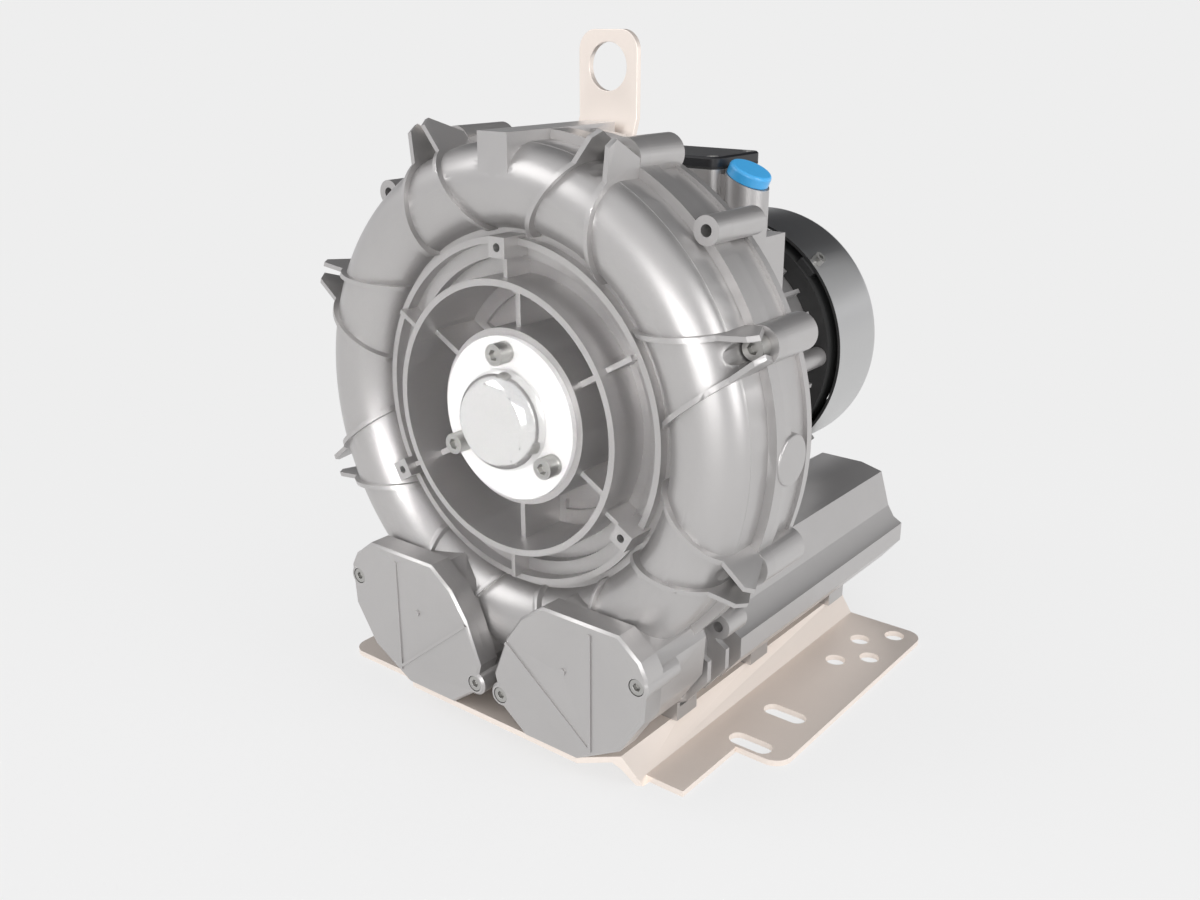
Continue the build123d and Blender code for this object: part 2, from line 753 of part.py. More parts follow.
with BuildPart() as rear_housing:
    revolve(rear_housing_section(), axis=shaft_axis)
    with BuildSketch(behind(rear_band_back)) as lug_outline:
        with PolarLocations(lug_circle_radius, lug_count, lug_start_angle):
            Circle(lug_radius)
    extrude(lug_outline.sketch, amount=rear_band_end)
    add(spare_bosses(split_depth, rear_band_back, (45, 135)))
    add(spare_bosses(low_boss_front, rear_band_back, (225, 315)))
    add(rear_ribs())
    # Flat ridge over the top, back to the lifting lug
    block((-ridge_half_width, ridge_half_width), (split_depth, lug_pad_depth),
          (bulge_radius, ridge_top))
    # Pad that carries the lifting lug
    with BuildSketch(behind(lug_pad_depth, 0, (lug_tab_bottom + lug_bend_bottom) / 2)) as pad:
        RectangleRounded(2 * lug_plate_half_width + 4, lug_bend_bottom - lug_tab_bottom + 4, 3)
    extrude(pad.sketch, amount=lug_pad_depth - rear_band_back)
    # Long boxes of the two silencers
    for side in (1, -1):
        extrude(
            silencer_face(tube_outline, side, silencer_rear), amount=silencer_rear - tube_start
        )
        extrude(silencer_face(neck_outline, side, tube_start), amount=tube_start - split_depth)
        for depth in gusset_depths:
            extrude(
                silencer_face(tube_outline, side, depth + gusset_thickness),
                amount=gusset_thickness,
            )
    # Ring channel, impeller space and silencer chambers
    add(rear_channel, mode=Mode.SUBTRACT)
    disc(channel_outer_radius, split_depth, land_rear, mode=Mode.SUBTRACT)
    for side in (1, -1):
        extrude(
            silencer_face(
                tube_outline, side, silencer_rear - silencer_end_wall, inset=silencer_wall
            ),
            amount=silencer_rear - silencer_end_wall - chamber_start, mode=Mode.SUBTRACT,
        )
        extrude(
            silencer_face(neck_outline, side, chamber_start, inset=silencer_wall),
            amount=chamber_start - neck_chamber_start, mode=Mode.SUBTRACT,
        )
        disc(port_sleeve_radius + contact_gap, silencer_rear - silencer_end_wall, silencer_rear,
             x=side * silencer_centre_x, z=silencer_centre_z, mode=Mode.SUBTRACT)
        foot_lugs(side)
        with BuildSketch(behind(silencer_rear)) as port_holes:
            with Locations((side * silencer_centre_x, silencer_centre_z)):
                with PolarLocations(port_screw_circle, 4, 45):
                    Circle(m6_radius)
        extrude(port_holes.sketch, amount=silencer_end_wall, mode=Mode.SUBTRACT)
    # Groove for the seal ring, then the holes for the screws
    disc(seal_radius + seal_half_width + seat_gap, split_depth, split_depth + seal_depth,
         bore=seal_radius - seal_half_width - seat_gap, mode=Mode.SUBTRACT)
    with BuildSketch(behind(split_depth + cover_screw_length - 2)) as screw_holes:
        with PolarLocations(lug_circle_radius, lug_count, lug_start_angle):
            Circle(m8_radius)
    extrude(screw_holes.sketch, amount=cover_screw_length - 2, mode=Mode.SUBTRACT)
    with BuildSketch(behind(motor_start)) as motor_holes:
        with PolarLocations(motor_screw_circle, 4, 45):
            Circle(m8_radius)
    extrude(motor_holes.sketch, amount=motor_start - back_wall_front, mode=Mode.SUBTRACT)
    with BuildSketch(behind(lug_pad_depth)) as lug_holes:
        with Locations((lug_screw_x, lug_screw_height), (-lug_screw_x, lug_screw_height)):
            Circle(m8_radius)
    extrude(lug_holes.sketch, amount=lug_screw_length - lug_sheet + 1, mode=Mode.SUBTRACT)
save(rear_housing, "rear_housing")

with BuildPart() as cover_seal:
    disc(seal_radius + seal_half_width, split_depth, split_depth + seal_depth - seat_gap,
         bore=seal_radius - seal_half_width)
save(cover_seal, "cover_seal")

lug_places = [on_circle(lug_circle_radius, angle) for angle in lug_angles]
save(screws(behind(split_depth - flange_thickness), lug_places, m8, cover_screw_length),
     "cover_screws")

# Bearing cover, its screws on thick washers, and the cap over the shaft end
hub_places = [on_circle(hub_screw_circle, angle) for angle in boss_angles]
with BuildPart() as bearing_cover:
    disc(bearing_cover_radius, cover_front, hub_front, bore=nut_radius + 3)
    disc(bearing_outer_radius - seat_gap, hub_front, front_bearing_depth, bore=nut_radius + 3)
    with BuildSketch(behind(hub_front)) as cover_holes:
        with Locations(*hub_places):
            Circle(m8_radius + contact_gap)
    extrude(cover_holes.sketch, amount=bearing_cover_thickness, mode=Mode.SUBTRACT)
save(bearing_cover, "bearing_cover")

with BuildPart() as hub_washers:
    with BuildSketch(behind(cover_front)) as washer_outline:
        with Locations(*hub_places):
            Circle(m8_head_radius)
            Circle(m8_radius + contact_gap, mode=Mode.SUBTRACT)
    extrude(washer_outline.sketch, amount=washer_thickness)
save(hub_washers, "hub_washers")
save(screws(behind(cover_front - washer_thickness), hub_places, m8, hub_screw_length),
     "hub_screws")

with BuildPart() as hub_cap:
    cap_front = cover_front - hub_cap_reach
    shoulder_radius = hub_cap_shoulder[0]
    shoulder_depth = cap_front + hub_cap_shoulder[1]
    with BuildSketch(radial) as cap_section:
        with BuildLine():
            Polyline(
                (hub_cap_radius, cover_front), (hub_cap_radius - hub_cap_wall, cover_front),
                (shoulder_radius - hub_cap_wall, shoulder_depth),
                (hub_cap_face_radius - hub_cap_wall, cap_front + hub_cap_wall),
                (0, cap_front + hub_cap_wall), (0, cap_front), (hub_cap_face_radius, cap_front),
            )
            ThreePointArc(
                (hub_cap_face_radius, cap_front), (shoulder_radius, shoulder_depth),
                (hub_cap_radius, cover_front),
            )
        make_face()
    revolve(cap_section.sketch, axis=shaft_axis)
save(hub_cap, "hub_cap")


def save_bearing(start, place):
    """Deep groove ball bearing at a depth: two races, the balls and their cage."""
    middle = start + bearing_width / 2
    pitch = (inner_race_radius + outer_race_radius) / 2
    with BuildPart(behind(middle)) as balls:
        with PolarLocations(pitch, bearing_ball_count):
            Sphere(bearing_ball_radius)
    with BuildPart(behind(middle)) as pockets:
        with PolarLocations(pitch, bearing_ball_count):
            Cylinder(
                bearing_ball_radius + contact_gap, 2 * bearing_ball_radius, rotation=(0, 90, 0)
            )
    with BuildSketch(radial) as groove:
        with Locations((pitch, middle)):
            Circle(bearing_ball_radius + running_gap)
    with BuildPart() as outer_race:
        disc(bearing_outer_radius - seat_gap, start, start + bearing_width, bore=outer_race_radius)
        revolve(groove.sketch, axis=shaft_axis, mode=Mode.SUBTRACT)
    with BuildPart() as inner_race:
        disc(inner_race_radius, start, start + bearing_width, bore=shaft_radius + seat_gap)
        revolve(groove.sketch, axis=shaft_axis, mode=Mode.SUBTRACT)
    with BuildPart() as cage:
        disc(pitch + cage_half_thickness, middle - cage_half_width, middle + cage_half_width,
             bore=pitch - cage_half_thickness)
        add(pockets.part, mode=Mode.SUBTRACT)
    save(balls, f"{place}_bearing_balls")
    save(outer_race, f"{place}_outer_race")
    save(inner_race, f"{place}_inner_race")
    save(cage, f"{place}_bearing_cage")


def save_shaft_seal(start, place):
    """Lip seal on the shaft, seated in its bore."""
    lip_end = start + shaft_seal_width
    with BuildPart() as seal:
        with BuildSketch(radial) as section:
            with BuildLine():
                Polyline(
                    (seal_bore_radius - seat_gap, start), (seal_bore_radius - seat_gap, lip_end),
                    (seal_bore_radius - 2, lip_end), (seal_bore_radius - 2, start + 2),
                    (shaft_radius + 3, start + 2), (shaft_radius + 2, lip_end - 1),
                    (shaft_radius + running_gap, lip_end - 2),
                    (shaft_radius + running_gap, lip_end - 3), (shaft_radius + 1, start),
                    close=True,
                )
            make_face()
        revolve(section.sketch, axis=shaft_axis)
    save(seal, f"{place}_shaft_seal")


save_bearing(front_bearing_depth, "front")
save_bearing(rear_bearing_depth, "rear")
save_shaft_seal(bearing_seat_end + 2, "front")
save_shaft_seal(back_recess_end + 0.2, "rear")

# Shaft with keyway and clip groove, then what sits on it
key_start = disc_front + 3
key_end = key_start + key_length
with BuildPart() as shaft:
    disc(shaft_radius, shaft_front, shaft_end)
    block((-key_width / 2, key_width / 2), (key_start, key_end),
          (shaft_radius - key_height / 2, shaft_radius + 1), Mode.SUBTRACT)
    disc(shaft_radius + 1, fan_start + fan_length, fan_start + fan_length + clip_thickness + 0.1,
         bore=shaft_radius - 0.8, mode=Mode.SUBTRACT)
save(shaft, "shaft")

with BuildPart() as impeller_key:
    block((-key_width / 2 + seat_gap, key_width / 2 - seat_gap),
          (key_start + seat_gap, key_end - seat_gap),
          (shaft_radius - key_height / 2 + seat_gap, shaft_radius + key_height / 2))
save(impeller_key, "impeller_key")

washer_front = front_bearing_depth - lock_washer_thickness
with BuildPart() as lock_washer:
    disc(nut_radius, washer_front, front_bearing_depth, bore=shaft_radius + seat_gap)
    with BuildSketch(behind(front_bearing_depth)) as tabs:
        with PolarLocations(nut_radius, 12):
            Rectangle(3, 3)
    extrude(tabs.sketch, amount=lock_washer_thickness, mode=Mode.SUBTRACT)
save(lock_washer, "lock_washer")

with BuildPart() as shaft_nut:
    disc(nut_radius, washer_front - nut_length, washer_front, bore=shaft_radius + seat_gap)
    with BuildSketch(behind(washer_front)) as nut_slots:
        with PolarLocations(nut_radius, 4):
            Rectangle(4, 5)
    extrude(nut_slots.sketch, amount=nut_length, mode=Mode.SUBTRACT)
save(shaft_nut, "shaft_nut")


def blade_face():
    """Plan of one curved blade, from the core ring past the tip."""
    edges = []
    for half in (-blade_thickness / 2, blade_thickness / 2):
        points = []
        for radius, share in (
            (impeller_core_outer - 2, 0.0),
            ((impeller_core_outer + impeller_radius) / 2, 0.3),
            (impeller_radius + 2, 1.0),
        ):
            x, z = on_circle(radius, blade_sweep_angle * share)
            points.append((x, z + half))
        edges.append(points)
    with BuildSketch() as blade:
        with BuildLine():
            ThreePointArc(*edges[0])
            Line(edges[0][2], edges[1][2])
            ThreePointArc(*reversed(edges[1]))
            Line(edges[1][0], edges[0][0])
        make_face()
    return blade.sketch


with BuildPart() as impeller:
    impeller_front = split_depth - impeller_half_thickness
    impeller_back = split_depth + impeller_half_thickness
    with BuildSketch(radial) as impeller_section:
        with BuildLine():
            Polyline(
                (shaft_radius + seat_gap, disc_front), (impeller_disc_edge, disc_front),
                (impeller_core_inner, cone_foot - impeller_core_inner),
                (impeller_core_inner, impeller_front), (impeller_core_outer, impeller_front),
                (impeller_core_outer, split_depth - impeller_web / 2),
                (impeller_radius, split_depth - impeller_web / 2),
                (impeller_radius, split_depth + impeller_web / 2),
                (impeller_core_outer, split_depth + impeller_web / 2),
                (impeller_core_outer, impeller_back), (impeller_core_inner, impeller_back),
                (cone_foot + impeller_cone_thickness - disc_back, disc_back),
                (impeller_hub_radius, disc_back), (impeller_hub_radius, hub_back),
                (shaft_radius + seat_gap, hub_back), close=True,
            )
        make_face()
    revolve(impeller_section.sketch, axis=shaft_axis)
    with BuildSketch(behind(impeller_back)) as blades:
        with PolarLocations(0, blade_count):
            add(blade_face())
        Circle(impeller_radius, mode=Mode.INTERSECT)
        Circle(impeller_core_outer - 1, mode=Mode.SUBTRACT)
    extrude(blades.sketch, amount=2 * impeller_half_thickness)
    block((-key_width / 2, key_width / 2), (disc_front, hub_back),
          (0, shaft_radius + key_height / 2 + seat_gap), Mode.SUBTRACT)
save(impeller, "impeller")

# Motor: frame, rotor core, stator and windings
with BuildPart() as motor_frame:
    disc(motor_flange_radius, motor_start, motor_start + motor_flange_thickness)
    disc(motor_barrel_radius, motor_start, motor_end)
    with BuildSketch(behind(fin_end)) as fins:
        with PolarLocations((motor_bore_radius + fin_radius) / 2, fin_count):
            Rectangle(fin_radius - motor_bore_radius, fin_thickness)
    extrude(fins.sketch, amount=fin_end - fin_start)
    with BuildSketch(behind(motor_end)) as screw_bosses:
        with PolarLocations(shield_screw_circle, 4):
            Circle(shield_boss_radius)
    extrude(screw_bosses.sketch, amount=shield_boss_length)
    block((box_saddle_left, box_saddle_right), (box_saddle_front, box_front),
          (0, box_saddle_top))
    block((box_saddle_left, box_saddle_right), (box_front, box_saddle_rear), (0, box_bottom))
    disc(motor_bore_radius, motor_start, motor_end, mode=Mode.SUBTRACT)
    block((box_middle_x - wire_hole[0] / 2, box_middle_x + wire_hole[0] / 2),
          (wire_depth - wire_hole[1] / 2, wire_depth + wire_hole[1] / 2),
          (0, box_bottom), Mode.SUBTRACT)
    with BuildSketch(behind(motor_start + motor_flange_thickness)) as flange_holes:
        with PolarLocations(motor_screw_circle, 4, 45):
            Circle(m8_radius + contact_gap)
    extrude(flange_holes.sketch, amount=motor_flange_thickness, mode=Mode.SUBTRACT)
    with BuildSketch(behind(motor_end)) as shield_holes:
        with PolarLocations(shield_screw_circle, 4):
            Circle(m6_radius)
    extrude(shield_holes.sketch, amount=shield_boss_length - 4, mode=Mode.SUBTRACT)
save(motor_frame, "motor_frame")

flange_places = [on_circle(motor_screw_circle, 45 + 90 * i) for i in range(4)]
save(screws(facing_back(motor_start + motor_flange_thickness), flange_places, m8,
            motor_flange_thickness + motor_start - back_wall_front - 0.5),
     "motor_flange_screws")

with BuildPart() as rotor_core:
    disc(stator_inner_radius - air_gap, stator_start, stator_end, bore=shaft_radius + seat_gap)
    for start in (stator_start - 6, stator_end):
        disc(stator_inner_radius - 4, start, start + 6, bore=stator_inner_radius - 12)
save(rotor_core, "rotor_core")

with BuildPart() as stator_core:
    disc(motor_bore_radius - seat_gap, stator_start, stator_end, bore=stator_inner_radius)
    with BuildSketch(behind(stator_end)) as stator_slots:
        with PolarLocations(slot_circle_radius, slot_count):
            Circle(slot_hole_radius)
        with PolarLocations(stator_inner_radius, slot_count):
            Rectangle(2 * (slot_circle_radius - stator_inner_radius), slot_hole_radius / 2)
    extrude(stator_slots.sketch, amount=stator_length, mode=Mode.SUBTRACT)
save(stator_core, "stator_core")

with BuildPart() as stator_windings:
    for start in (stator_start - winding_length - contact_gap, stator_end + contact_gap):
        disc(winding_outer_radius, start, start + winding_length, bore=winding_inner_radius)
    with BuildSketch(behind(stator_end + contact_gap + 1)) as conductors:
        with PolarLocations(slot_circle_radius, slot_count):
            Circle(slot_hole_radius - contact_gap)
    extrude(conductors.sketch, amount=stator_length + 2 * contact_gap + 2)
save(stator_windings, "stator_windings")

# Rear shield with its bearing seat and the lugs that carry the fan cowl
with BuildPart() as rear_shield:
    disc(shield_radius, motor_end, motor_end + shield_thickness)
    disc(shield_hub_radius, rear_bearing_depth - 2, shield_hub_end)
    with BuildSketch(behind(shield_hub_end)) as cowl_lugs:
        with PolarLocations(cowl_radius - cowl_wall, cowl_lug_count, 45):
            Rectangle(2 * cowl_lug_width, cowl_lug_width)
        Circle(cowl_radius - cowl_wall - contact_gap, mode=Mode.INTERSECT)
    extrude(cowl_lugs.sketch, amount=shield_hub_end - motor_end - 2)
    disc(bearing_outer_radius, rear_bearing_depth - 2, rear_seat_end, mode=Mode.SUBTRACT)
    disc(seal_bore_radius, rear_seat_end, shield_hub_end, mode=Mode.SUBTRACT)
    with BuildSketch(behind(motor_end + shield_thickness)) as shield_clearance:
        with PolarLocations(shield_screw_circle, 4):
            Circle(m6_radius + contact_gap)
    extrude(shield_clearance.sketch, amount=shield_thickness, mode=Mode.SUBTRACT)
    for index in range(cowl_lug_count):
        add(cowl_hole(45 + 360 / cowl_lug_count * index), mode=Mode.SUBTRACT)
save(rear_shield, "rear_shield")

shield_places = [on_circle(shield_screw_circle, 90 * i) for i in range(4)]
save(screws(facing_back(motor_end + shield_thickness), shield_places, m6,
            shield_thickness + shield_boss_length - 6),
     "shield_screws")

with BuildPart() as preload_spring:
    disc(bearing_outer_radius - 0.3, rear_seat_end - spring_thickness, rear_seat_end,
         bore=outer_race_radius)
    block((-1, 1), (rear_seat_end - spring_thickness, rear_seat_end),
          (0, bearing_outer_radius), Mode.SUBTRACT)
save(preload_spring, "preload_spring")

# Cooling fan, its clip and the cowl round it
with BuildPart() as fan:
    disc(fan_hub_radius, fan_start, fan_start + fan_length)
    disc(fan_radius - 4, fan_start, fan_start + fan_blade_thickness)
    with BuildSketch(behind(fan_start + fan_length - 2)) as fan_blades:
        with PolarLocations((fan_hub_radius + fan_radius) / 2, fan_blade_count):
            Rectangle(fan_radius - fan_hub_radius + 2, fan_blade_thickness)
    extrude(fan_blades.sketch, amount=fan_length - 2)
    disc(shaft_radius + seat_gap, fan_start, fan_start + fan_length, mode=Mode.SUBTRACT)
save(fan, "fan")

with BuildPart() as fan_clip:
    clip_start = fan_start + fan_length + seat_gap
    disc(clip_radius, clip_start, clip_start + clip_thickness, bore=shaft_radius - 0.75)
    block((-4, 4), (clip_start, clip_start + clip_thickness), (0, clip_radius), Mode.SUBTRACT)
save(fan_clip, "fan_clip")


def cowl_face(inset):
    """Half section of the space inside the cowl's skin, drawn in by an inset."""
    with BuildSketch() as face:
        with Locations((0, cowl_start)):
            Rectangle(cowl_radius - inset, cowl_end - inset - cowl_start,
                      align=(Align.MIN, Align.MIN))
        fillet(face.vertices().group_by(Axis.X)[-1].sort_by(Axis.Y)[-1], cowl_corner - inset)
    return face.sketch


with BuildPart() as fan_cowl:
    with BuildSketch(radial) as cowl_section:
        add(cowl_face(0))
        add(cowl_face(cowl_wall), mode=Mode.SUBTRACT)
    revolve(cowl_section.sketch, axis=shaft_axis)
    # Rings of slots, cut from the outermost ring inwards, then the ribs between them
    with BuildSketch(behind(cowl_end)) as grille:
        for radius in reversed(grille_rings):
            Circle(radius + grille_slot_width / 2)
            Circle(radius - grille_slot_width / 2, mode=Mode.SUBTRACT)
        with PolarLocations(cowl_radius / 2, grille_ribs):
            Rectangle(cowl_radius, grille_rib_width, mode=Mode.SUBTRACT)
    extrude(grille.sketch, amount=cowl_wall, mode=Mode.SUBTRACT)
    for index in range(cowl_lug_count):
        add(cowl_hole(45 + 360 / cowl_lug_count * index), mode=Mode.SUBTRACT)
save(fan_cowl, "fan_cowl")

with BuildPart() as cowl_screws:
    for index in range(cowl_lug_count):
        seat = cowl_plane(45 + 360 / cowl_lug_count * index)
        add(screws(seat, [(0, 0)], m5, cowl_lug_width - 3).part)
save(cowl_screws, "cowl_screws")


def box_outline(inset):
    """Plan of the terminal box, drawn in by an inset."""
    with BuildSketch(over(box_bottom, box_middle_x, (box_front + box_rear) / 2)) as outline:
        RectangleRounded(
            box_right - box_left - 2 * inset, box_rear - box_front - 2 * inset,
            box_corner - inset / 2,
        )
    return outline.sketch


lid_screw_places = [
    (x * ((box_right - box_left) / 2 - lid_screw_inset),
     y * ((box_rear - box_front) / 2 - lid_screw_inset))
    for x in (1, -1) for y in (1, -1)
]
box_centre = (box_middle_x, (box_front + box_rear) / 2)


def lid_screw_cut(start, end, radius):
    """Holes at the four lid screws between two heights."""
    with BuildSketch(over(start, *box_centre)) as holes:
        with Locations(*lid_screw_places):
            Circle(radius)
    extrude(holes.sketch, amount=end - start, mode=Mode.SUBTRACT)


# Terminal box with its tilted cable entry
with BuildPart() as terminal_box:
    extrude(box_outline(0), amount=box_top - box_bottom)
    with BuildSketch(over(box_bottom + box_wall, *box_centre)) as box_room:
        RectangleRounded(box_right - box_left - 2 * box_wall,
                         box_rear - box_front - 2 * box_wall, box_corner - box_wall)
        with Locations(*lid_screw_places):
            Circle(m5_radius + box_wall + 1, mode=Mode.SUBTRACT)
    extrude(box_room.sketch, amount=box_top - box_bottom, mode=Mode.SUBTRACT)
    post(entry_radius, entry_x, entry_depth, box_bottom, box_top + entry_radius)
    block((box_right - box_wall, entry_x),
          (entry_depth - entry_bridge_half_width, entry_depth + entry_bridge_half_width),
          (box_bottom, box_top - box_wall))
    with BuildSketch(entry_plane) as entry_cut:
        Rectangle(4 * entry_radius, 4 * entry_radius)
    extrude(entry_cut.sketch, amount=2 * entry_radius, mode=Mode.SUBTRACT)
    with BuildSketch(entry_plane) as entry_bore:
        Circle(entry_bore_radius)
    extrude(entry_bore.sketch, amount=-entry_bore_length, mode=Mode.SUBTRACT)
    block((box_middle_x - wire_hole[0] / 2, box_middle_x + wire_hole[0] / 2),
          (wire_depth - wire_hole[1] / 2, wire_depth + wire_hole[1] / 2),
          (box_bottom, box_bottom + box_wall), Mode.SUBTRACT)
    lid_screw_cut(box_bottom + 2 * box_wall, box_top, m5_radius)
save(terminal_box, "terminal_box")

lid_bottom = box_top + gasket_thickness
with BuildPart() as terminal_gasket:
    with BuildSketch(over(box_top, *box_centre)) as gasket_outline:
        RectangleRounded(box_right - box_left, box_rear - box_front, box_corner)
        RectangleRounded(box_right - box_left - 2 * box_wall,
                         box_rear - box_front - 2 * box_wall, box_corner - box_wall,
                         mode=Mode.SUBTRACT)
        with Locations(*lid_screw_places):
            Circle(m5_radius + box_wall)
    extrude(gasket_outline.sketch, amount=gasket_thickness)
    lid_screw_cut(box_top, lid_bottom, m5_radius + contact_gap)
save(terminal_gasket, "terminal_gasket")

with BuildPart() as terminal_lid:
    with BuildSketch(over(lid_bottom, *box_centre)) as lid_outline:
        RectangleRounded(box_right - box_left, box_rear - box_front, box_corner)
    extrude(lid_outline.sketch, amount=lid_thickness)
    chamfer(terminal_lid.faces().sort_by(Axis.Z)[-1].edges(), 1.2)
    lid_screw_cut(lid_bottom, lid_bottom + lid_thickness, m5_radius + contact_gap)
    lid_screw_cut(lid_bottom + lid_thickness - m5_head_height, lid_bottom + lid_thickness,
                  m5_head_radius + contact_gap)
    with BuildSketch(over(lid_bottom, *box_centre)) as lid_room:
        Rectangle(box_right - box_left - 4 * lid_screw_inset,
                  box_rear - box_front - 2 * box_wall - 2)
    extrude(lid_room.sketch, amount=lid_thickness - box_wall, mode=Mode.SUBTRACT)
save(terminal_lid, "terminal_lid")
save(screws(over(lid_bottom + lid_thickness - m5_head_height, *box_centre), lid_screw_places,
            m5, lid_thickness - m5_head_height + gasket_thickness + 14),
     "lid_screws")

# Terminal block with two rows of studs
block_bottom = box_bottom + box_wall
with BuildPart() as terminal_block:
    block((box_middle_x - 25, box_middle_x + 25), (block_front, block_front + 22),
          (block_bottom, block_bottom + 10))
    with BuildSketch(over(block_bottom + 4, box_middle_x, block_front + 11)) as stud_holes:
        with GridLocations(16, 10, 3, 2):
            Circle(m5_radius)
    extrude(stud_holes.sketch, amount=10, mode=Mode.SUBTRACT)
save(terminal_block, "terminal_block")
with BuildPart() as terminal_studs:
    with BuildSketch(over(block_bottom + 4, box_middle_x, block_front + 11)) as studs:
        with GridLocations(16, 10, 3, 2):
            Circle(m5_radius - seat_gap)
    extrude(studs.sketch, amount=18)
    with BuildSketch(over(block_bottom + 10, box_middle_x, block_front + 11)) as stud_nuts:
        with GridLocations(16, 10, 3, 2):
            RegularPolygon(4.2, 6)
    extrude(stud_nuts.sketch, amount=4)
save(terminal_studs, "terminal_studs")

with BuildPart() as entry_plug:
    with BuildSketch(entry_plane) as plug_head:
        Circle(entry_radius)
    extrude(plug_head.sketch, amount=plug_thickness)
    chamfer(entry_plug.edges().filter_by(GeomType.CIRCLE).sort_by(Axis.Z)[-1], 1.5)
    with BuildSketch(entry_plane) as plug_spigot:
        Circle(entry_bore_radius - seat_gap)
    extrude(plug_spigot.sketch, amount=-entry_bore_length / 2)
save(entry_plug, "entry_plug")


# Silencer covers, their screws, absorbers and ports
def silencer_cover(side, ribs, dot):
    """Cover plate over one silencer box, with raised lines and a raised dot."""
    with BuildPart() as cover:
        extrude(silencer_face(cover_outline, side, silencer_front),
                amount=silencer_cover_thickness)
        with BuildSketch(behind(silencer_front)) as ears:
            with Locations(*[(side * x, z) for x, z in silencer_screw_places]):
                Circle(silencer_ear_radius)
        extrude(ears.sketch, amount=silencer_cover_thickness)
        chamfer(cover.faces().sort_by(Axis.Y)[0].edges(), cover_edge_chamfer)
        with BuildSketch(behind(silencer_cover_front + 1)) as raised:
            for start, end in ribs:
                with BuildLine():
                    Line(start, end)
                trace(line_width=cover_rib_width)
            with Locations(dot):
                Circle(cover_rib_width)
        extrude(raised.sketch, amount=cover_rib_height + 1)
        with BuildSketch(behind(silencer_front)) as holes:
            with Locations(*[(side * x, z) for x, z in silencer_screw_places]):
                Circle(m6_radius + contact_gap)
        extrude(holes.sketch, amount=silencer_cover_thickness, mode=Mode.SUBTRACT)
        with BuildSketch(behind(silencer_cover_front + silencer_head_sink)) as head_room:
            with Locations(*[(side * x, z) for x, z in silencer_screw_places]):
                Circle(m6_head_radius + contact_gap)
        extrude(head_room.sketch, amount=2 * silencer_head_sink, mode=Mode.SUBTRACT)
    return cover


save(silencer_cover(1, (((82, -105), (82, -182)), ((17, -132), (81, -181))), (62, -136)),
     "right_silencer_cover")
save(silencer_cover(-1, (((-78, -106), (-78, -184)), ((-77, -181), (-17, -132))), (-60, -137)),
     "left_silencer_cover")
silencer_places = [(side * x, z) for side in (1, -1) for x, z in silencer_screw_places]
save(screws(behind(silencer_cover_front + silencer_head_sink), silencer_places, m6,
            silencer_screw_length),
     "silencer_cover_screws")

for side, place in ((1, "right"), (-1, "left")):
    with BuildPart() as absorber:
        disc(absorber_outer_radius, absorber_start, silencer_rear - silencer_end_wall,
             bore=absorber_inner_radius, x=side * silencer_centre_x, z=silencer_centre_z)
        for depth in foot_screw_depths:
            reach = foot_lug_reach + absorber_clearance
            block(sorted((side * (foot_screw_x - reach), side * (foot_screw_x + reach))),
                  (depth - reach, depth + reach), (silencer_bottom, absorber_notch_top),
                  Mode.SUBTRACT)
    save(absorber, f"{place}_absorber")
    with BuildPart() as port:
        disc(port_plate_radius, silencer_rear, port_end,
             x=side * silencer_centre_x, z=silencer_centre_z)
        chamfer(port.faces().sort_by(Axis.Y)[-1].edges(), 1.0)
        disc(port_sleeve_radius, silencer_rear - silencer_end_wall, silencer_rear,
             x=side * silencer_centre_x, z=silencer_centre_z)
        disc(port_bore_radius, silencer_rear - silencer_end_wall, port_end,
             x=side * silencer_centre_x, z=silencer_centre_z, mode=Mode.SUBTRACT)
        with BuildSketch(behind(port_end, side * silencer_centre_x, silencer_centre_z)) as holes:
            with PolarLocations(port_screw_circle, 4, 45):
                Circle(m6_radius + contact_gap)
        extrude(holes.sketch, amount=port_plate_thickness, mode=Mode.SUBTRACT)
    save(port, f"{place}_port")

port_screw_places = []
for side in (1, -1):
    for index in range(4):
        x, z = on_circle(port_screw_circle, 45 + 90 * index)
        port_screw_places.append((side * silencer_centre_x + x, silencer_centre_z + z))
save(screws(facing_back(port_end), port_screw_places, m6,
            port_plate_thickness + silencer_end_wall - 0.5),
     "port_screws")


# Foot plate, folded from sheet
def foot_section(inset):
    """Section of the raised middle of the foot, drawn in by an inset and open below."""
    low = foot_bend_half_width - inset
    high = foot_platform_half_width - inset
    with BuildSketch(behind(foot_rear)) as section:
        Polygon(
            (-low, -shaft_height), (low, -shaft_height), (high, silencer_bottom - inset),
            (-high, silencer_bottom - inset), align=None,
        )
    return section.sketch


def foot_corner(side, points):
    """Plan of what is cut away in front of a line of points at one front corner."""
    with BuildSketch(over(-shaft_height)) as corner:
        Polygon(
            *[(side * x, depth) for x, depth in points],
            (side * points[-1][0], foot_nose - 1), (side * points[0][0], foot_nose - 1),
            align=None,
        )
    return corner.sketch


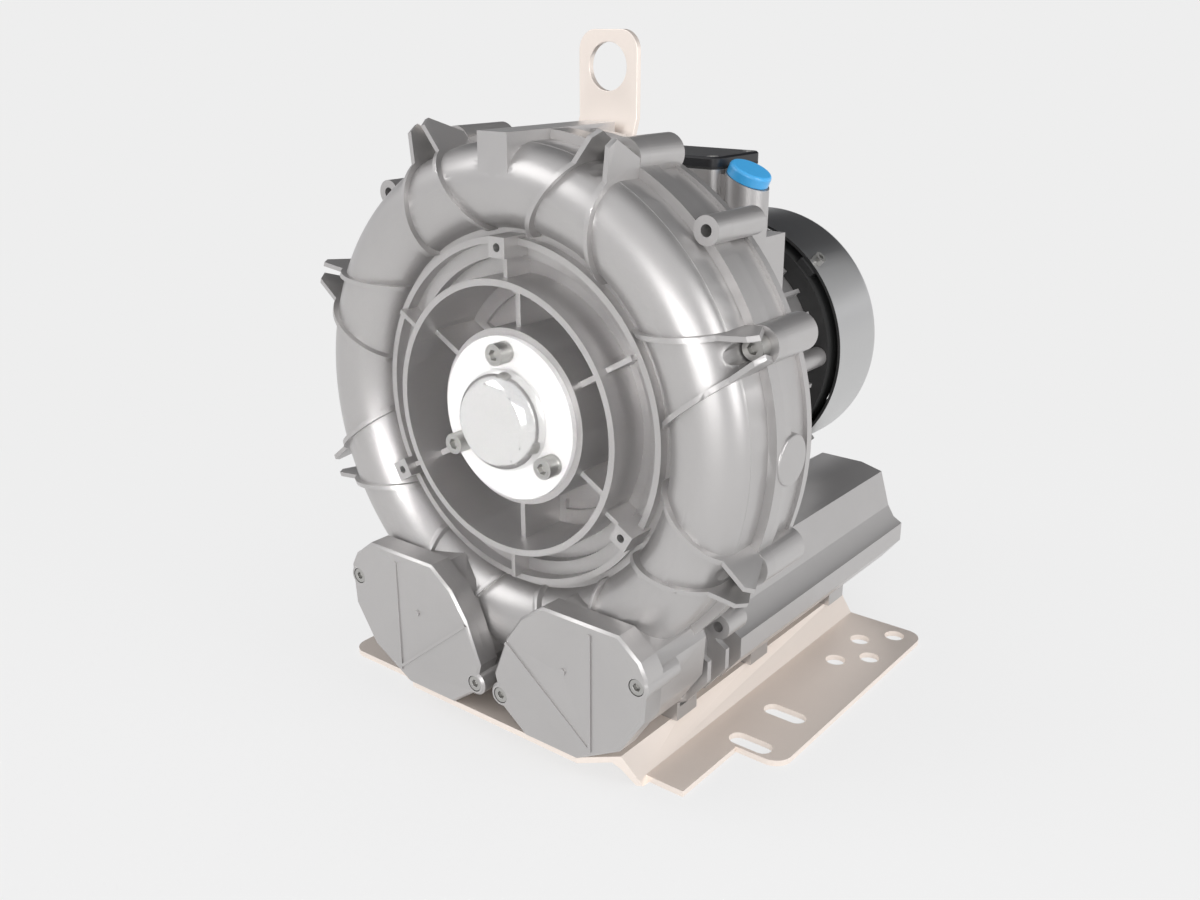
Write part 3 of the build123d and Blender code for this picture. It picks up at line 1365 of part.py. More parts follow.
def foot_flange(side, tab_front, front):
    """Flange on the floor at one side, with a wide tab behind a narrow strip."""
    with BuildSketch(over(-shaft_height)) as flange:
        for reach, start in ((foot_narrow_half_width, front), (foot_half_width, tab_front)):
            with Locations((side * (foot_bend_half_width - foot_sheet), start)):
                Rectangle(
                    reach - foot_bend_half_width + foot_sheet, foot_rear - start,
                    align=(Align.MIN if side > 0 else Align.MAX, Align.MIN),
                )
        fillet(flange.vertices().group_by(Axis.X)[-1 if side > 0 else 0], foot_tab_corner)
        with Locations((side * slot_column, slot_row_front), (side * slot_column, slot_row_rear)):
            SlotOverall(slot_end_to_end, 2 * slot_half_width, mode=Mode.SUBTRACT)
        for column, rows in ((hole_columns[0], hole_rows[0::2]), (hole_columns[1], hole_rows[1::2])):
            with Locations(*[(side * column, row) for row in rows]):
                Circle(hole_radius_foot, mode=Mode.SUBTRACT)
    return flange.sketch


with BuildPart() as foot_plate:
    extrude(foot_section(0), amount=foot_rear - foot_nose)
    extrude(foot_section(foot_sheet), amount=foot_rear - foot_nose, mode=Mode.SUBTRACT)
    extrude(foot_flange(1, foot_tab_front, foot_front), amount=foot_sheet)
    extrude(foot_flange(-1, foot_left_front, foot_left_front), amount=foot_sheet)
    nose_line = [
        (foot_nose_half_width, foot_nose), (foot_platform_half_width, foot_nose_side),
        (foot_bend_half_width, foot_left_front), (foot_narrow_half_width, foot_front),
    ]
    for side, points in ((1, nose_line), (-1, nose_line[:3])):
        extrude(foot_corner(side, points), amount=platform_top + 1, mode=Mode.SUBTRACT)
    for side in (1, -1):
        for depth in foot_screw_depths:
            post(foot_collar_radius, side * foot_screw_x, depth,
                 silencer_bottom - foot_sheet - foot_collar_height, silencer_bottom)
            post(m8_radius, side * foot_screw_x, depth,
                 silencer_bottom - foot_sheet - foot_collar_height, silencer_bottom,
                 Mode.SUBTRACT)
save(foot_plate, "foot_plate")
save(screws(over(foot_lug_top),
            [(side * foot_screw_x, depth) for side in (1, -1) for depth in foot_screw_depths],
            m8, foot_screw_length),
     "foot_screws")

# Lifting lug, folded from sheet
with BuildPart() as lifting_lug:
    tab = lug_pad_depth
    plate = lug_plate_depth
    with BuildSketch(Plane.YZ) as lug_side:
        Polygon(
            *[(rim_front_y + depth, shaft_height + z) for depth, z in (
                (tab, lug_tab_bottom), (tab + lug_sheet, lug_tab_bottom),
                (tab + lug_sheet, lug_bend_bottom), (plate + lug_sheet, lug_bend_top),
                (plate + lug_sheet, lug_top), (plate, lug_top), (plate, lug_bend_top),
                (tab, lug_bend_bottom),
            )],
            align=None,
        )
    extrude(lug_side.sketch, amount=lug_plate_half_width, both=True)
    fillet(lifting_lug.edges().filter_by(Axis.Y).group_by(Axis.Z)[-1], lug_top_corner)
    disc(lug_hole_radius, plate, plate + lug_sheet, z=lug_hole_height, mode=Mode.SUBTRACT)
    for side in (1, -1):
        disc(m8_radius + contact_gap, tab, tab + lug_sheet, x=side * lug_screw_x,
             z=lug_screw_height, mode=Mode.SUBTRACT)
save(lifting_lug, "lifting_lug")
save(screws(facing_back(lug_pad_depth + lug_sheet),
            [(lug_screw_x, lug_screw_height), (-lug_screw_x, lug_screw_height)], m8,
            lug_screw_length),
     "lug_screws")
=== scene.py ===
import json
import math

import bmesh
import bpy
from mathutils import Matrix, Vector

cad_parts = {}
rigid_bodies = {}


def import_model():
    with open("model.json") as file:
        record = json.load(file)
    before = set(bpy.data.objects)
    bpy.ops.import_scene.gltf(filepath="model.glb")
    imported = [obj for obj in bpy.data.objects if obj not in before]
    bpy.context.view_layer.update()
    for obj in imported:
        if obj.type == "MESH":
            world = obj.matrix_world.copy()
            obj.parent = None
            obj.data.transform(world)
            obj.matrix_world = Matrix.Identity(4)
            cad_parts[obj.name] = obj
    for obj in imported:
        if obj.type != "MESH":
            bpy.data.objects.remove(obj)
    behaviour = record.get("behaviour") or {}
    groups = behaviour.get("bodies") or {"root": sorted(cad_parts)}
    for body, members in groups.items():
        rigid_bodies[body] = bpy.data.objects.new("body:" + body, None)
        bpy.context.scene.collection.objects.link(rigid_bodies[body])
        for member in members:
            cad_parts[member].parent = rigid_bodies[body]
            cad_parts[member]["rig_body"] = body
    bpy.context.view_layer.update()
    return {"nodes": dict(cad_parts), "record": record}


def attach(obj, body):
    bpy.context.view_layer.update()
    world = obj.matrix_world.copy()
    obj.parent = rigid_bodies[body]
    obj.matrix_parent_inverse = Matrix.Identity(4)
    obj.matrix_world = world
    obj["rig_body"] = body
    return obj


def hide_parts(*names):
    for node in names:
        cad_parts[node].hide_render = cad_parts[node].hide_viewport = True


bl_info = {
    "name": "Side channel blower",
    "version": (1, 0, 0),
    "blender": (4, 5, 0),
    "location": "3D View > Sidebar > Blower",
    "description": "Dresses the packed blower with finished castings, sheet, screws "
                   "and a studio",
    "category": "Object",
}

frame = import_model()
SLOT_OF_NODE = {row["node"]: row["material_slot"] for row in frame["record"]["subparts"]}

# Places and lengths are in metres, in the frame's own axes: the shaft lies along Y and the
# front of the blower looks towards -Y.
SHAFT = Vector((0.0, 0.0, 0.211))

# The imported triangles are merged, joined where they are flatter than one angle, and rounded
# where they meet at more than the other.
MERGE_DISTANCE = 2e-6
FLAT_ANGLE = math.radians(0.4)
ROUNDED_ANGLE = math.radians(35)

# Grains per metre of the two skins, and how far the roughness of mouldings varies
CAST_GRAIN = 900.0
MOULDED_GRAIN = 2200.0
MOULDED_SPREAD = 0.05

# Small pieces of the right side; those of the left side are their mirror images. The pad's
# draft is the radius at its foot over the radius at its face.
PAD_DRAFT = 1.06
PAD = {
    "radius": 0.0145,
    "place": Vector((0.1600, -0.0495, 0.2095)),
    "length": 0.0120,
    "edge": 0.0012,
}
# Black block in the silencer, painted shade of a drain slot
DRAIN_SHADE = {
    "place": Vector((0.0975, 0.0705, 0.1062)),
    "size": (0.0012, 0.0110, 0.0034),
    "tilt": math.radians(16),
    "edge": 0.0005,
}

# Thin black ring behind the rear shield, painted shade where only shade shows; its spun corners
# are merged at the last value
SHADE_RING = {"inner": 0.0815, "outer": 0.0832, "start": 0.1505, "end": 0.1645}
SPIN_STEPS = 96
SEAM_DISTANCE = 1e-6

# The cowl's inside, which is painted black as shade, lies within this radius and in front of
# this depth. A face whose normal has a smaller Y than the last value looks forwards.
COWL_INSIDE_RADIUS = 0.0902
COWL_INSIDE_REAR = 0.2105
FORWARD_NORMAL = -0.3

# Camera fitted to the photo; its lens and sensor are in millimetres
CAMERA_LENS = 35.37
CAMERA_SENSOR = 36.0
CAMERA_PLACE = (0.4528, -0.5812, 0.4283)
CAMERA_TURN = (math.radians(70.32), 0.0, math.radians(38.25))

# Name, place, point aimed at, width, height, spread in degrees, power in watts
LAMPS = (
    ("lamp_left", (-1.0, -1.1, 1.5), (0.0, 0.0, 0.2), 1.2, 0.9, 180, 8.0),
    ("lamp_right", (1.8, 0.2, 0.9), (0.0, 0.0, 0.2), 0.7, 1.4, 180, 12.0),
    ("lamp_front", (0.9, -1.7, 0.7), (0.0, 0.0, 0.2), 1.6, 1.0, 180, 15.0),
    ("lamp_back", (1.04, 1.58, 0.84), (0.1, 0.0, 0.1), 1.4, 0.9, 180, 2.0),
    ("lamp_recess", (0.45, -1.0, 0.42), (-0.01, -0.08, 0.205), 0.17, 0.17, 8, 0.06),
)

# The studio, and the dark screen that only reflections show. Each edge of the screen fades in
# between two values of a direction's component.
STUDIO_GREY = (0.78, 0.78, 0.79, 1.0)
SCREEN_GREY = (0.012, 0.013, 0.016, 1.0)
SCREEN_EDGES = (("Y", -0.15, 0.45), ("Z", 0.07, 0.24))

# The floor glows in the backdrop's colour, less so near the blower where its shadow falls
FLOOR_RADIUS = 4.0
FLOOR_SIDES = 96
GLOW_START = 0.25
GLOW_END = 0.8
GLOW_NEAR_SHARE = 0.82


# Settings a user would change

def colour_setting(name, description, default):
    return bpy.props.FloatVectorProperty(
        name=name, description=description, subtype="COLOR", size=3, default=default
    )


def edge_setting(name, description, default):
    return bpy.props.FloatProperty(
        name=name, description=description, unit="LENGTH", default=default, min=0.0
    )


class BlowerFinishes(bpy.types.PropertyGroup):
    """Colours of the blower's surfaces."""

    casting: colour_setting("Casting", "Blasted cast aluminium", (0.475, 0.463, 0.458))
    sheet: colour_setting("Sheet", "Plated sheet of foot and lifting lug", (0.90, 0.81, 0.74))
    screw: colour_setting("Screws", "Zinc plated screws and washers", (0.42, 0.415, 0.40))
    bright: colour_setting(
        "Bearing cover", "Bright turned bearing cover and cap", (0.80, 0.795, 0.785)
    )
    cowl: colour_setting("Fan cowl", "Bare sheet of the fan cowl", (0.55, 0.55, 0.55))
    lid: colour_setting(
        "Box lid", "Black plastic lid of the terminal box", (0.012, 0.012, 0.014)
    )
    plug: colour_setting("Entry plug", "Blue plug in the cable entry", (0.05, 0.36, 0.72))
    floor: colour_setting("Floor", "Pale floor and backdrop", (0.855, 0.855, 0.855))


class BlowerSizes(bpy.types.PropertyGroup):
    """Edge rounding and grain of the blower's surfaces."""

    cast_edge: edge_setting("Cast edge", "Rounding of cast edges", 0.0009)
    machined_edge: edge_setting("Machined edge", "Rounding of turned and sheet edges", 0.0004)
    smooth_angle: bpy.props.FloatProperty(
        name="Smooth angle", description="Edges flatter than this are shaded smooth",
        subtype="ANGLE", default=math.radians(28),
    )
    grain: bpy.props.FloatProperty(
        name="Grain", description="Grains of cast skin per metre", default=CAST_GRAIN,
    )


def finishes():
    return bpy.context.scene.blower_finishes


def sizes():
    return bpy.context.scene.blower_sizes


# Shader nodes and the groups shared by the finishes

# Sockets of the Mix node that hold its factor and its colours
MIX_INPUTS = (0, 6, 7)
MIX_RESULT = 2


def new_group(name, inputs, outputs):
    """Empty shader group with named float or vector sockets."""
    group = bpy.data.node_groups.new(name, "ShaderNodeTree")
    for label, kind, value in inputs:
        socket = group.interface.new_socket(name=label, in_out="INPUT", socket_type=kind)
        if value is not None:
            socket.default_value = value
    for label in outputs:
        group.interface.new_socket(name=label, in_out="OUTPUT", socket_type="NodeSocketFloat")
    return group, group.nodes.new("NodeGroupInput"), group.nodes.new("NodeGroupOutput")


def set_or_link(tree, socket, value):
    """Gives a socket a plain number or colour, or links another node's output to it."""
    if isinstance(value, (int, float, tuple)):
        socket.default_value = value
    else:
        tree.links.new(value, socket)


def add_noise(tree, vector, scale, detail, roughness=0.5):
    noise = tree.nodes.new("ShaderNodeTexNoise")
    noise.inputs["Detail"].default_value = detail
    noise.inputs["Roughness"].default_value = roughness
    tree.links.new(vector, noise.inputs["Vector"])
    set_or_link(tree, noise.inputs["Scale"], scale)
    return noise.outputs["Fac"]


def add_math(tree, operation, *values, clamp=False):
    node = tree.nodes.new("ShaderNodeMath")
    node.operation = operation
    node.use_clamp = clamp
    for socket, value in zip(node.inputs, values):
        set_or_link(tree, socket, value)
    return node.outputs["Value"]


def add_mix(tree, factor, low, high):
    node = tree.nodes.new("ShaderNodeMix")
    node.data_type = "RGBA"
    for index, value in zip(MIX_INPUTS, (factor, low, high)):
        set_or_link(tree, node.inputs[index], value)
    return node.outputs[MIX_RESULT]


def add_ramp(tree, value, start=0.0, end=1.0, low=0.0, high=1.0, kind="LINEAR"):
    """Carries the values from start to end over to those from low to high."""
    ramp = tree.nodes.new("ShaderNodeMapRange")
    ramp.interpolation_type = kind
    for label, number in (("From Min", start), ("From Max", end), ("To Min", low),
                          ("To Max", high)):
        ramp.inputs[label].default_value = number
    tree.links.new(value, ramp.inputs["Value"])
    return ramp.outputs["Result"]


def cast_skin_group():
    """Fine blasted grain and slow cloudy variation of a cast surface."""
    group, inside, outside = new_group(
        "cast_skin",
        [("Vector", "NodeSocketVector", None), ("Grain scale", "NodeSocketFloat", CAST_GRAIN)],
        ["Height", "Cloud"],
    )
    vector = inside.outputs["Vector"]
    fine = add_noise(group, vector, inside.outputs["Grain scale"], detail=3.0, roughness=0.7)
    cloud = add_noise(group, vector, scale=14.0, detail=4.0, roughness=0.6)
    group.links.new(fine, outside.inputs["Height"])
    group.links.new(cloud, outside.inputs["Cloud"])
    return group


def edge_group():
    """Mask of the edges, where plating and paint rub thin."""
    group, inside, outside = new_group(
        "edge_rub",
        [("Vector", "NodeSocketVector", None), ("Amount", "NodeSocketFloat", 0.5)],
        ["Mask"],
    )
    geometry = group.nodes.new("ShaderNodeNewGeometry")
    breakup = add_noise(group, inside.outputs["Vector"], scale=60.0, detail=4.0)
    ridge = add_ramp(group, geometry.outputs["Pointiness"], start=0.52, end=0.62)
    rubbed = add_math(group, "MULTIPLY", ridge, breakup)
    mask = add_math(group, "MULTIPLY", rubbed, inside.outputs["Amount"], clamp=True)
    group.links.new(mask, outside.inputs["Mask"])
    return group


def drawn_lines_group():
    """Fine lines drawn out along the shaft's direction, and slow stains."""
    group, inside, outside = new_group(
        "drawn_lines", [("Vector", "NodeSocketVector", None)], ["Lines", "Stain"]
    )
    vector = inside.outputs["Vector"]
    stretch = group.nodes.new("ShaderNodeMapping")
    stretch.inputs["Scale"].default_value = (1.0, 0.04, 1.0)
    group.links.new(vector, stretch.inputs["Vector"])
    lines = add_noise(group, stretch.outputs["Vector"], scale=1500.0, detail=2.0)
    stain = add_noise(group, vector, scale=18.0, detail=5.0, roughness=0.65)
    group.links.new(lines, outside.inputs["Lines"])
    group.links.new(stain, outside.inputs["Stain"])
    return group


def place_group(tree, name, maker, vector):
    """Node of a shared group, which is made the first time it is asked for."""
    node = tree.nodes.new("ShaderNodeGroup")
    node.node_tree = bpy.data.node_groups.get(name) or maker()
    tree.links.new(vector, node.inputs["Vector"])
    return node


# Finishes

def start_material(name, metallic, roughness):
    """Material with its Principled shader and its object coordinates."""
    material = bpy.data.materials.new(name)
    material.use_nodes = True
    tree = material.node_tree
    shader = tree.nodes["Principled BSDF"]
    shader.inputs["Metallic"].default_value = metallic
    shader.inputs["Roughness"].default_value = roughness
    place = tree.nodes.new("ShaderNodeTexCoord").outputs["Object"]
    return material, tree, shader, place


def shade(colour, factor):
    return (*(channel * factor for channel in colour), 1.0)


def add_bump(tree, shader, height, strength, distance):
    node = tree.nodes.new("ShaderNodeBump")
    node.inputs["Strength"].default_value = strength
    node.inputs["Distance"].default_value = distance
    tree.links.new(height, node.inputs["Height"])
    tree.links.new(node.outputs["Normal"], shader.inputs["Normal"])


def vary_roughness(tree, shader, mask, low, high):
    tree.links.new(add_ramp(tree, mask, low=low, high=high), shader.inputs["Roughness"])


def cast_material(name, colour, metallic, rough, grain_depth):
    """Cast metal with a blasted skin, cloudy tone and bare, brighter edges."""
    material, tree, shader, place = start_material(name, metallic, rough[1])
    skin = place_group(tree, "cast_skin", cast_skin_group, place)
    skin.inputs["Grain scale"].default_value = sizes().grain
    edge = place_group(tree, "edge_rub", edge_group, place)
    cloud = skin.outputs["Cloud"]
    body = add_mix(tree, cloud, low=shade(colour, 0.93), high=shade(colour, 1.06))
    tone = add_mix(tree, edge.outputs["Mask"], low=body, high=shade(colour, 1.12))
    tree.links.new(tone, shader.inputs["Base Color"])
    vary_roughness(tree, shader, cloud, *rough)
    add_bump(tree, shader, skin.outputs["Height"], strength=0.25, distance=grain_depth)
    return material


def drawn_material(name, colour, metallic, rough, stain):
    """Rolled or turned metal with drawn lines, faint stains and brighter edges."""
    material, tree, shader, place = start_material(name, metallic, rough[1])
    drawn = place_group(tree, "drawn_lines", drawn_lines_group, place)
    edge = place_group(tree, "edge_rub", edge_group, place)
    body = add_mix(tree, drawn.outputs["Stain"], low=shade(colour, 1.0 - stain),
                   high=shade(colour, 1.0 + stain / 2))
    tone = add_mix(tree, edge.outputs["Mask"], low=body, high=shade(colour, 1.1))
    tree.links.new(tone, shader.inputs["Base Color"])
    vary_roughness(tree, shader, drawn.outputs["Lines"], *rough)
    add_bump(tree, shader, drawn.outputs["Lines"], strength=0.08, distance=0.00005)
    return material


def moulded_material(name, colour, roughness, coat=0.0):
    """Moulded plastic, rubber or foam with a fine eroded skin."""
    material, tree, shader, place = start_material(name, 0.0, roughness)
    skin = place_group(tree, "cast_skin", cast_skin_group, place)
    skin.inputs["Grain scale"].default_value = MOULDED_GRAIN
    cloud = skin.outputs["Cloud"]
    tone = add_mix(tree, cloud, low=shade(colour, 0.9), high=shade(colour, 1.1))
    tree.links.new(tone, shader.inputs["Base Color"])
    shader.inputs["Coat Weight"].default_value = coat
    vary_roughness(tree, shader, cloud, roughness - MOULDED_SPREAD, roughness + MOULDED_SPREAD)
    add_bump(tree, shader, skin.outputs["Height"], strength=0.15, distance=0.00004)
    return material


FINISH_MAKERS = {
    "casting": lambda: cast_material(
        "blasted_casting", finishes().casting, metallic=0.72, rough=(0.30, 0.40),
        grain_depth=0.0001),
    "sheet": lambda: drawn_material(
        "plated_sheet", finishes().sheet, metallic=0.55, rough=(0.30, 0.40), stain=0.05),
    "screw": lambda: drawn_material(
        "zinc_screw", finishes().screw, metallic=0.8, rough=(0.28, 0.42), stain=0.12),
    "bright": lambda: drawn_material(
        "turned_bright", finishes().bright, metallic=0.35, rough=(0.16, 0.24), stain=0.02),
    "chrome": lambda: drawn_material(
        "polished_cap", finishes().bright, metallic=0.85, rough=(0.12, 0.18), stain=0.01),
    "ground": lambda: drawn_material(
        "ground_steel", (0.55, 0.55, 0.56), metallic=1.0, rough=(0.15, 0.22), stain=0.03),
    "cowl": lambda: drawn_material(
        "spun_cowl", finishes().cowl, metallic=0.95, rough=(0.26, 0.34), stain=0.04),
    "core": lambda: drawn_material(
        "core_sheets", (0.2, 0.2, 0.21), metallic=0.9, rough=(0.4, 0.6), stain=0.15),
    "copper": lambda: drawn_material(
        "enamelled_copper", (0.55, 0.20, 0.08), metallic=0.8, rough=(0.25, 0.35), stain=0.1),
    "brass": lambda: drawn_material(
        "stud_brass", (0.70, 0.50, 0.22), metallic=1.0, rough=(0.25, 0.35), stain=0.05),
    "lid": lambda: moulded_material("lid_plastic", finishes().lid, roughness=0.38),
    "plug": lambda: moulded_material("plug_plastic", finishes().plug, roughness=0.32, coat=0.3),
    # The black rubber also paints the shade of the drain slots
    "rubber": lambda: moulded_material("seal_rubber", (0.02, 0.02, 0.02), roughness=0.7),
    # The black fan plastic also paints the shade on the rear shield, the thin ring behind it
    # and the cowl's inside
    "fan": lambda: moulded_material("fan_plastic", (0.03, 0.03, 0.03), roughness=0.5),
    "foam": lambda: moulded_material("absorber_foam", (0.16, 0.16, 0.15), roughness=0.9),
}
made_finishes = {}


def finish_of(name):
    """The finish of that name, made the first time it is asked for."""
    if name not in made_finishes:
        made_finishes[name] = FINISH_MAKERS[name]()
    return made_finishes[name]


# Mesh helpers

def put_in_scene(name, shape, body, finish):
    """Mesh object made from a bmesh, with its finish, riding on a body."""
    mesh = bpy.data.meshes.new(name)
    shape.to_mesh(mesh)
    shape.free()
    mesh.polygons.foreach_set("use_smooth", [True] * len(mesh.polygons))
    mesh.set_sharp_from_angle(angle=sizes().smooth_angle)
    piece = bpy.data.objects.new(name, mesh)
    bpy.context.scene.collection.objects.link(piece)
    mesh.materials.append(finish_of(finish))
    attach(piece, body)
    return piece


def merged_copy(node):
    """Copy of a node's triangles with its vertices merged and flat areas joined."""
    shape = bmesh.new()
    shape.from_mesh(frame["nodes"][node].data)
    bmesh.ops.remove_doubles(shape, verts=shape.verts, dist=MERGE_DISTANCE)
    bmesh.ops.dissolve_limit(
        shape, angle_limit=FLAT_ANGLE, verts=shape.verts, edges=shape.edges,
        use_dissolve_boundaries=False,
    )
    return shape


def dress(node, finish, edge_width=0.0, segments=2):
    """Smooth finished copy of a node with rounded edges, shown in its place."""
    body = frame["nodes"][node]["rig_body"]
    piece = put_in_scene(node + "_skin", merged_copy(node), body, finish)
    if edge_width:
        rounding = piece.modifiers.new("rounded edges", "BEVEL")
        rounding.width = edge_width
        rounding.segments = segments
        rounding.limit_method = "ANGLE"
        rounding.angle_limit = ROUNDED_ANGLE
        rounding.harden_normals = True
        rounding.miter_outer = "MITER_ARC"
        rounding.use_clamp_overlap = True
    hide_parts(node)
    return piece


def paint_cowl_shade(piece, finish):
    """Painted shade: a second, black finish on the faces of the cowl that look inwards or
    forwards.
    """
    piece.data.materials.append(finish_of(finish))
    for face in piece.data.polygons:
        outwards = Vector((face.center.x, 0.0, face.center.z - SHAFT.z))
        inside = outwards.length < COWL_INSIDE_RADIUS and face.center.y < COWL_INSIDE_REAR
        if inside and (face.normal.dot(outwards) < 0.0 or face.normal.y < FORWARD_NORMAL):
            face.material_index = 1


def mirror(piece):
    """Carries a finished mesh over to the left side of the blower."""
    shape = bmesh.new()
    shape.from_mesh(piece.data)
    bmesh.ops.scale(shape, vec=(-1.0, 1.0, 1.0), verts=shape.verts)
    bmesh.ops.recalc_face_normals(shape, faces=shape.faces)
    shape.to_mesh(piece.data)
    shape.free()


def round_pad(name, radius, place, length, edge, finish, slot):
    """Round cast pad on the side of the ring, its face towards +X, with a soft edge."""
    shape = bmesh.new()
    turn = Matrix.Rotation(math.radians(90), 4, "Y")
    bmesh.ops.create_cone(
        shape, cap_ends=True, segments=64, radius1=radius * PAD_DRAFT, radius2=radius,
        depth=length, matrix=Matrix.Translation(place) @ turn,
    )
    face_edges = [e for e in shape.edges if all(v.co.x > place.x for v in e.verts)]
    bmesh.ops.bevel(shape, geom=face_edges, offset=edge, segments=4, affect="EDGES",
                    profile=0.5, material=-1)
    return put_in_scene(name, shape, "frame", finish)


def ring(name, inner, outer, start, end, finish, slot):
    """Short tube round the shaft from one depth to another, spun from its section."""
    shape = bmesh.new()
    middle = Vector(((inner + outer) / 2, (start + end) / 2, SHAFT.z))
    stretch = Matrix.Diagonal((outer - inner, end - start, 1.0, 1.0))
    bmesh.ops.create_grid(
        shape, x_segments=1, y_segments=1, size=0.5,
        matrix=Matrix.Translation(middle) @ stretch,
    )
    bmesh.ops.delete(shape, geom=shape.faces[:], context="FACES_ONLY")
    bmesh.ops.spin(
        shape, geom=shape.verts[:] + shape.edges[:], cent=SHAFT, axis=(0.0, 1.0, 0.0),
        angle=math.tau, steps=SPIN_STEPS, use_merge=True, use_duplicate=False,
    )
    bmesh.ops.remove_doubles(shape, verts=shape.verts, dist=SEAM_DISTANCE)
    bmesh.ops.recalc_face_normals(shape, faces=shape.faces)
    return put_in_scene(name, shape, "frame", finish)


def lozenge(name, place, size, tilt, edge, finish, slot):
    """Small block with fully rounded edges, tilted about the shaft's direction."""
    shape = bmesh.new()
    stretch = Matrix.Diagonal((*size, 1.0))
    bmesh.ops.create_cube(
        shape, size=1.0,
        matrix=Matrix.Translation(place) @ Matrix.Rotation(tilt, 4, "Y") @ stretch,
    )
    bmesh.ops.bevel(shape, geom=shape.edges[:], offset=edge, segments=3, affect="EDGES",
                    profile=0.5, material=-1)
    return put_in_scene(name, shape, "frame", finish)


# Operators, one for each piece or group of like pieces

class BLOWER_OT_castings(bpy.types.Operator):
    """Ring housing and its cover, silencer covers and ports"""

    bl_idname = "blower.castings"
    bl_label = "Castings"

    def execute(self, context):
        for node in ("front_cover", "rear_housing", "right_silencer_cover",
                     "left_silencer_cover", "right_port", "left_port"):
            dress(node, "casting", sizes().cast_edge)
        return {"FINISHED"}


class BLOWER_OT_cast_marks(bpy.types.Operator):
    """Round pads on the sides of the ring, and black blocks in the silencers as painted shade
    of drain slots
    """

    bl_idname = "blower.cast_marks"
    bl_label = "Cast marks"

    def execute(self, context):
        slot = SLOT_OF_NODE["rear_housing"]
        for side in ("right", "left"):
            pad = round_pad("side_pad_" + side, **PAD, finish="casting", slot=slot)
            # The drain slot is a black block in the rubber finish, painted shade
            drain = lozenge("drain_slot_shade_" + side, **DRAIN_SHADE, finish="rubber", slot=slot)
            if side == "left":
                mirror(pad)
                mirror(drain)
        return {"FINISHED"}


class BLOWER_OT_hub(bpy.types.Operator):
    """Bearing cover, cap and washers on the hub"""

    bl_idname = "blower.hub"
    bl_label = "Hub"

    def execute(self, context):
        dress("bearing_cover", "bright", sizes().machined_edge)
        dress("hub_cap", "chrome", sizes().cast_edge, segments=4)
        dress("hub_washers", "screw", sizes().machined_edge)
        return {"FINISHED"}


class BLOWER_OT_motor(bpy.types.Operator):
    """Finned motor frame, rear shield and a thin ring in black as painted shade, cowl with
    painted shade inside, and fan
    """

    bl_idname = "blower.motor"
    bl_label = "Motor"

    def execute(self, context):
        dress("motor_frame", "casting", sizes().machined_edge)
        # Painted shade: the rear shield takes the black fan finish, so the cavity behind the
        # fins shows dark
        dress("rear_shield", "fan", sizes().machined_edge)
        # Painted shade: a black ring that closes the gap behind the rear shield
        ring("shade_ring", **SHADE_RING, finish="fan", slot=SLOT_OF_NODE["fan_cowl"])
        cowl = dress("fan_cowl", "cowl", sizes().machined_edge)
        # The cowl's inner faces take the black fan finish as painted shade
        paint_cowl_shade(cowl, "fan")
        dress("fan", "fan", sizes().machined_edge)
        return {"FINISHED"}


class BLOWER_OT_terminal_box(bpy.types.Operator):
    """Terminal box with lid, gasket and entry plug"""

    bl_idname = "blower.terminal_box"
    bl_label = "Terminal box"

    def execute(self, context):
        dress("terminal_box", "casting", sizes().cast_edge)
        dress("terminal_lid", "lid", sizes().cast_edge)
        dress("terminal_gasket", "rubber")
        dress("entry_plug", "plug", sizes().cast_edge, segments=3)
        return {"FINISHED"}


class BLOWER_OT_sheet(bpy.types.Operator):
    """Folded foot plate and lifting lug"""

    bl_idname = "blower.sheet"
    bl_label = "Folded sheet"

    def execute(self, context):
        for node in ("foot_plate", "lifting_lug"):
            dress(node, "sheet", sizes().machined_edge)
        return {"FINISHED"}


class BLOWER_OT_screws(bpy.types.Operator):
    """Screws that show from outside"""

    bl_idname = "blower.screws"
    bl_label = "Screws"

    def execute(self, context):
        for node in ("cover_screws", "hub_screws", "silencer_cover_screws", "foot_screws",
                     "lug_screws", "motor_flange_screws", "shield_screws", "cowl_screws",
                     "lid_screws", "port_screws"):
            dress(node, "screw", sizes().machined_edge)
        return {"FINISHED"}


INNER_PIECES = {
    "ground": ("shaft", "front_outer_race", "front_inner_race", "front_bearing_balls",
               "rear_outer_race", "rear_inner_race", "rear_bearing_balls"),
    "screw": ("front_bearing_cage", "rear_bearing_cage", "lock_washer", "shaft_nut",
              "impeller_key", "fan_clip", "preload_spring"),
    "rubber": ("cover_seal", "front_shaft_seal", "rear_shaft_seal"),
    "casting": ("impeller",),
    "core": ("rotor_core", "stator_core"),
    "copper": ("stator_windings",),
    "fan": ("terminal_block",),
    "brass": ("terminal_studs",),
    "foam": ("left_absorber", "right_absorber"),
}


class BLOWER_OT_inner_pieces(bpy.types.Operator):
    """Finishes of the pieces inside; their shapes stay as the CAD has them"""

    bl_idname = "blower.inner_pieces"
    bl_label = "Inner pieces"

    def execute(self, context):
        for finish, nodes in INNER_PIECES.items():
            for node in nodes:
                mesh = frame["nodes"][node].data
                mesh.materials.clear()
                mesh.materials.append(finish_of(finish))
        return {"FINISHED"}


class BLOWER_OT_stage(bpy.types.Operator):
    """Camera, lamps, studio and the pale floor"""

    bl_idname = "blower.stage"
    bl_label = "Stage"

    def execute(self, context):
        context.scene.view_settings.view_transform = "Standard"
        make_camera()
        make_world()
        make_floor()
        for name, place, aim, width, height, spread, power in LAMPS:
            make_lamp(name, Vector(place), Vector(aim), width, height, spread, power)
        return {"FINISHED"}


# The stage

def make_camera():
    """Camera that sees the blower as the photo does."""
    camera_data = bpy.data.cameras.new("camera")
    camera_data.lens = CAMERA_LENS
    camera_data.sensor_width = CAMERA_SENSOR
    camera = bpy.data.objects.new("camera", camera_data)
    camera.location = CAMERA_PLACE
    camera.rotation_euler = CAMERA_TURN
    bpy.context.scene.collection.objects.link(camera)
    bpy.context.scene.camera = camera


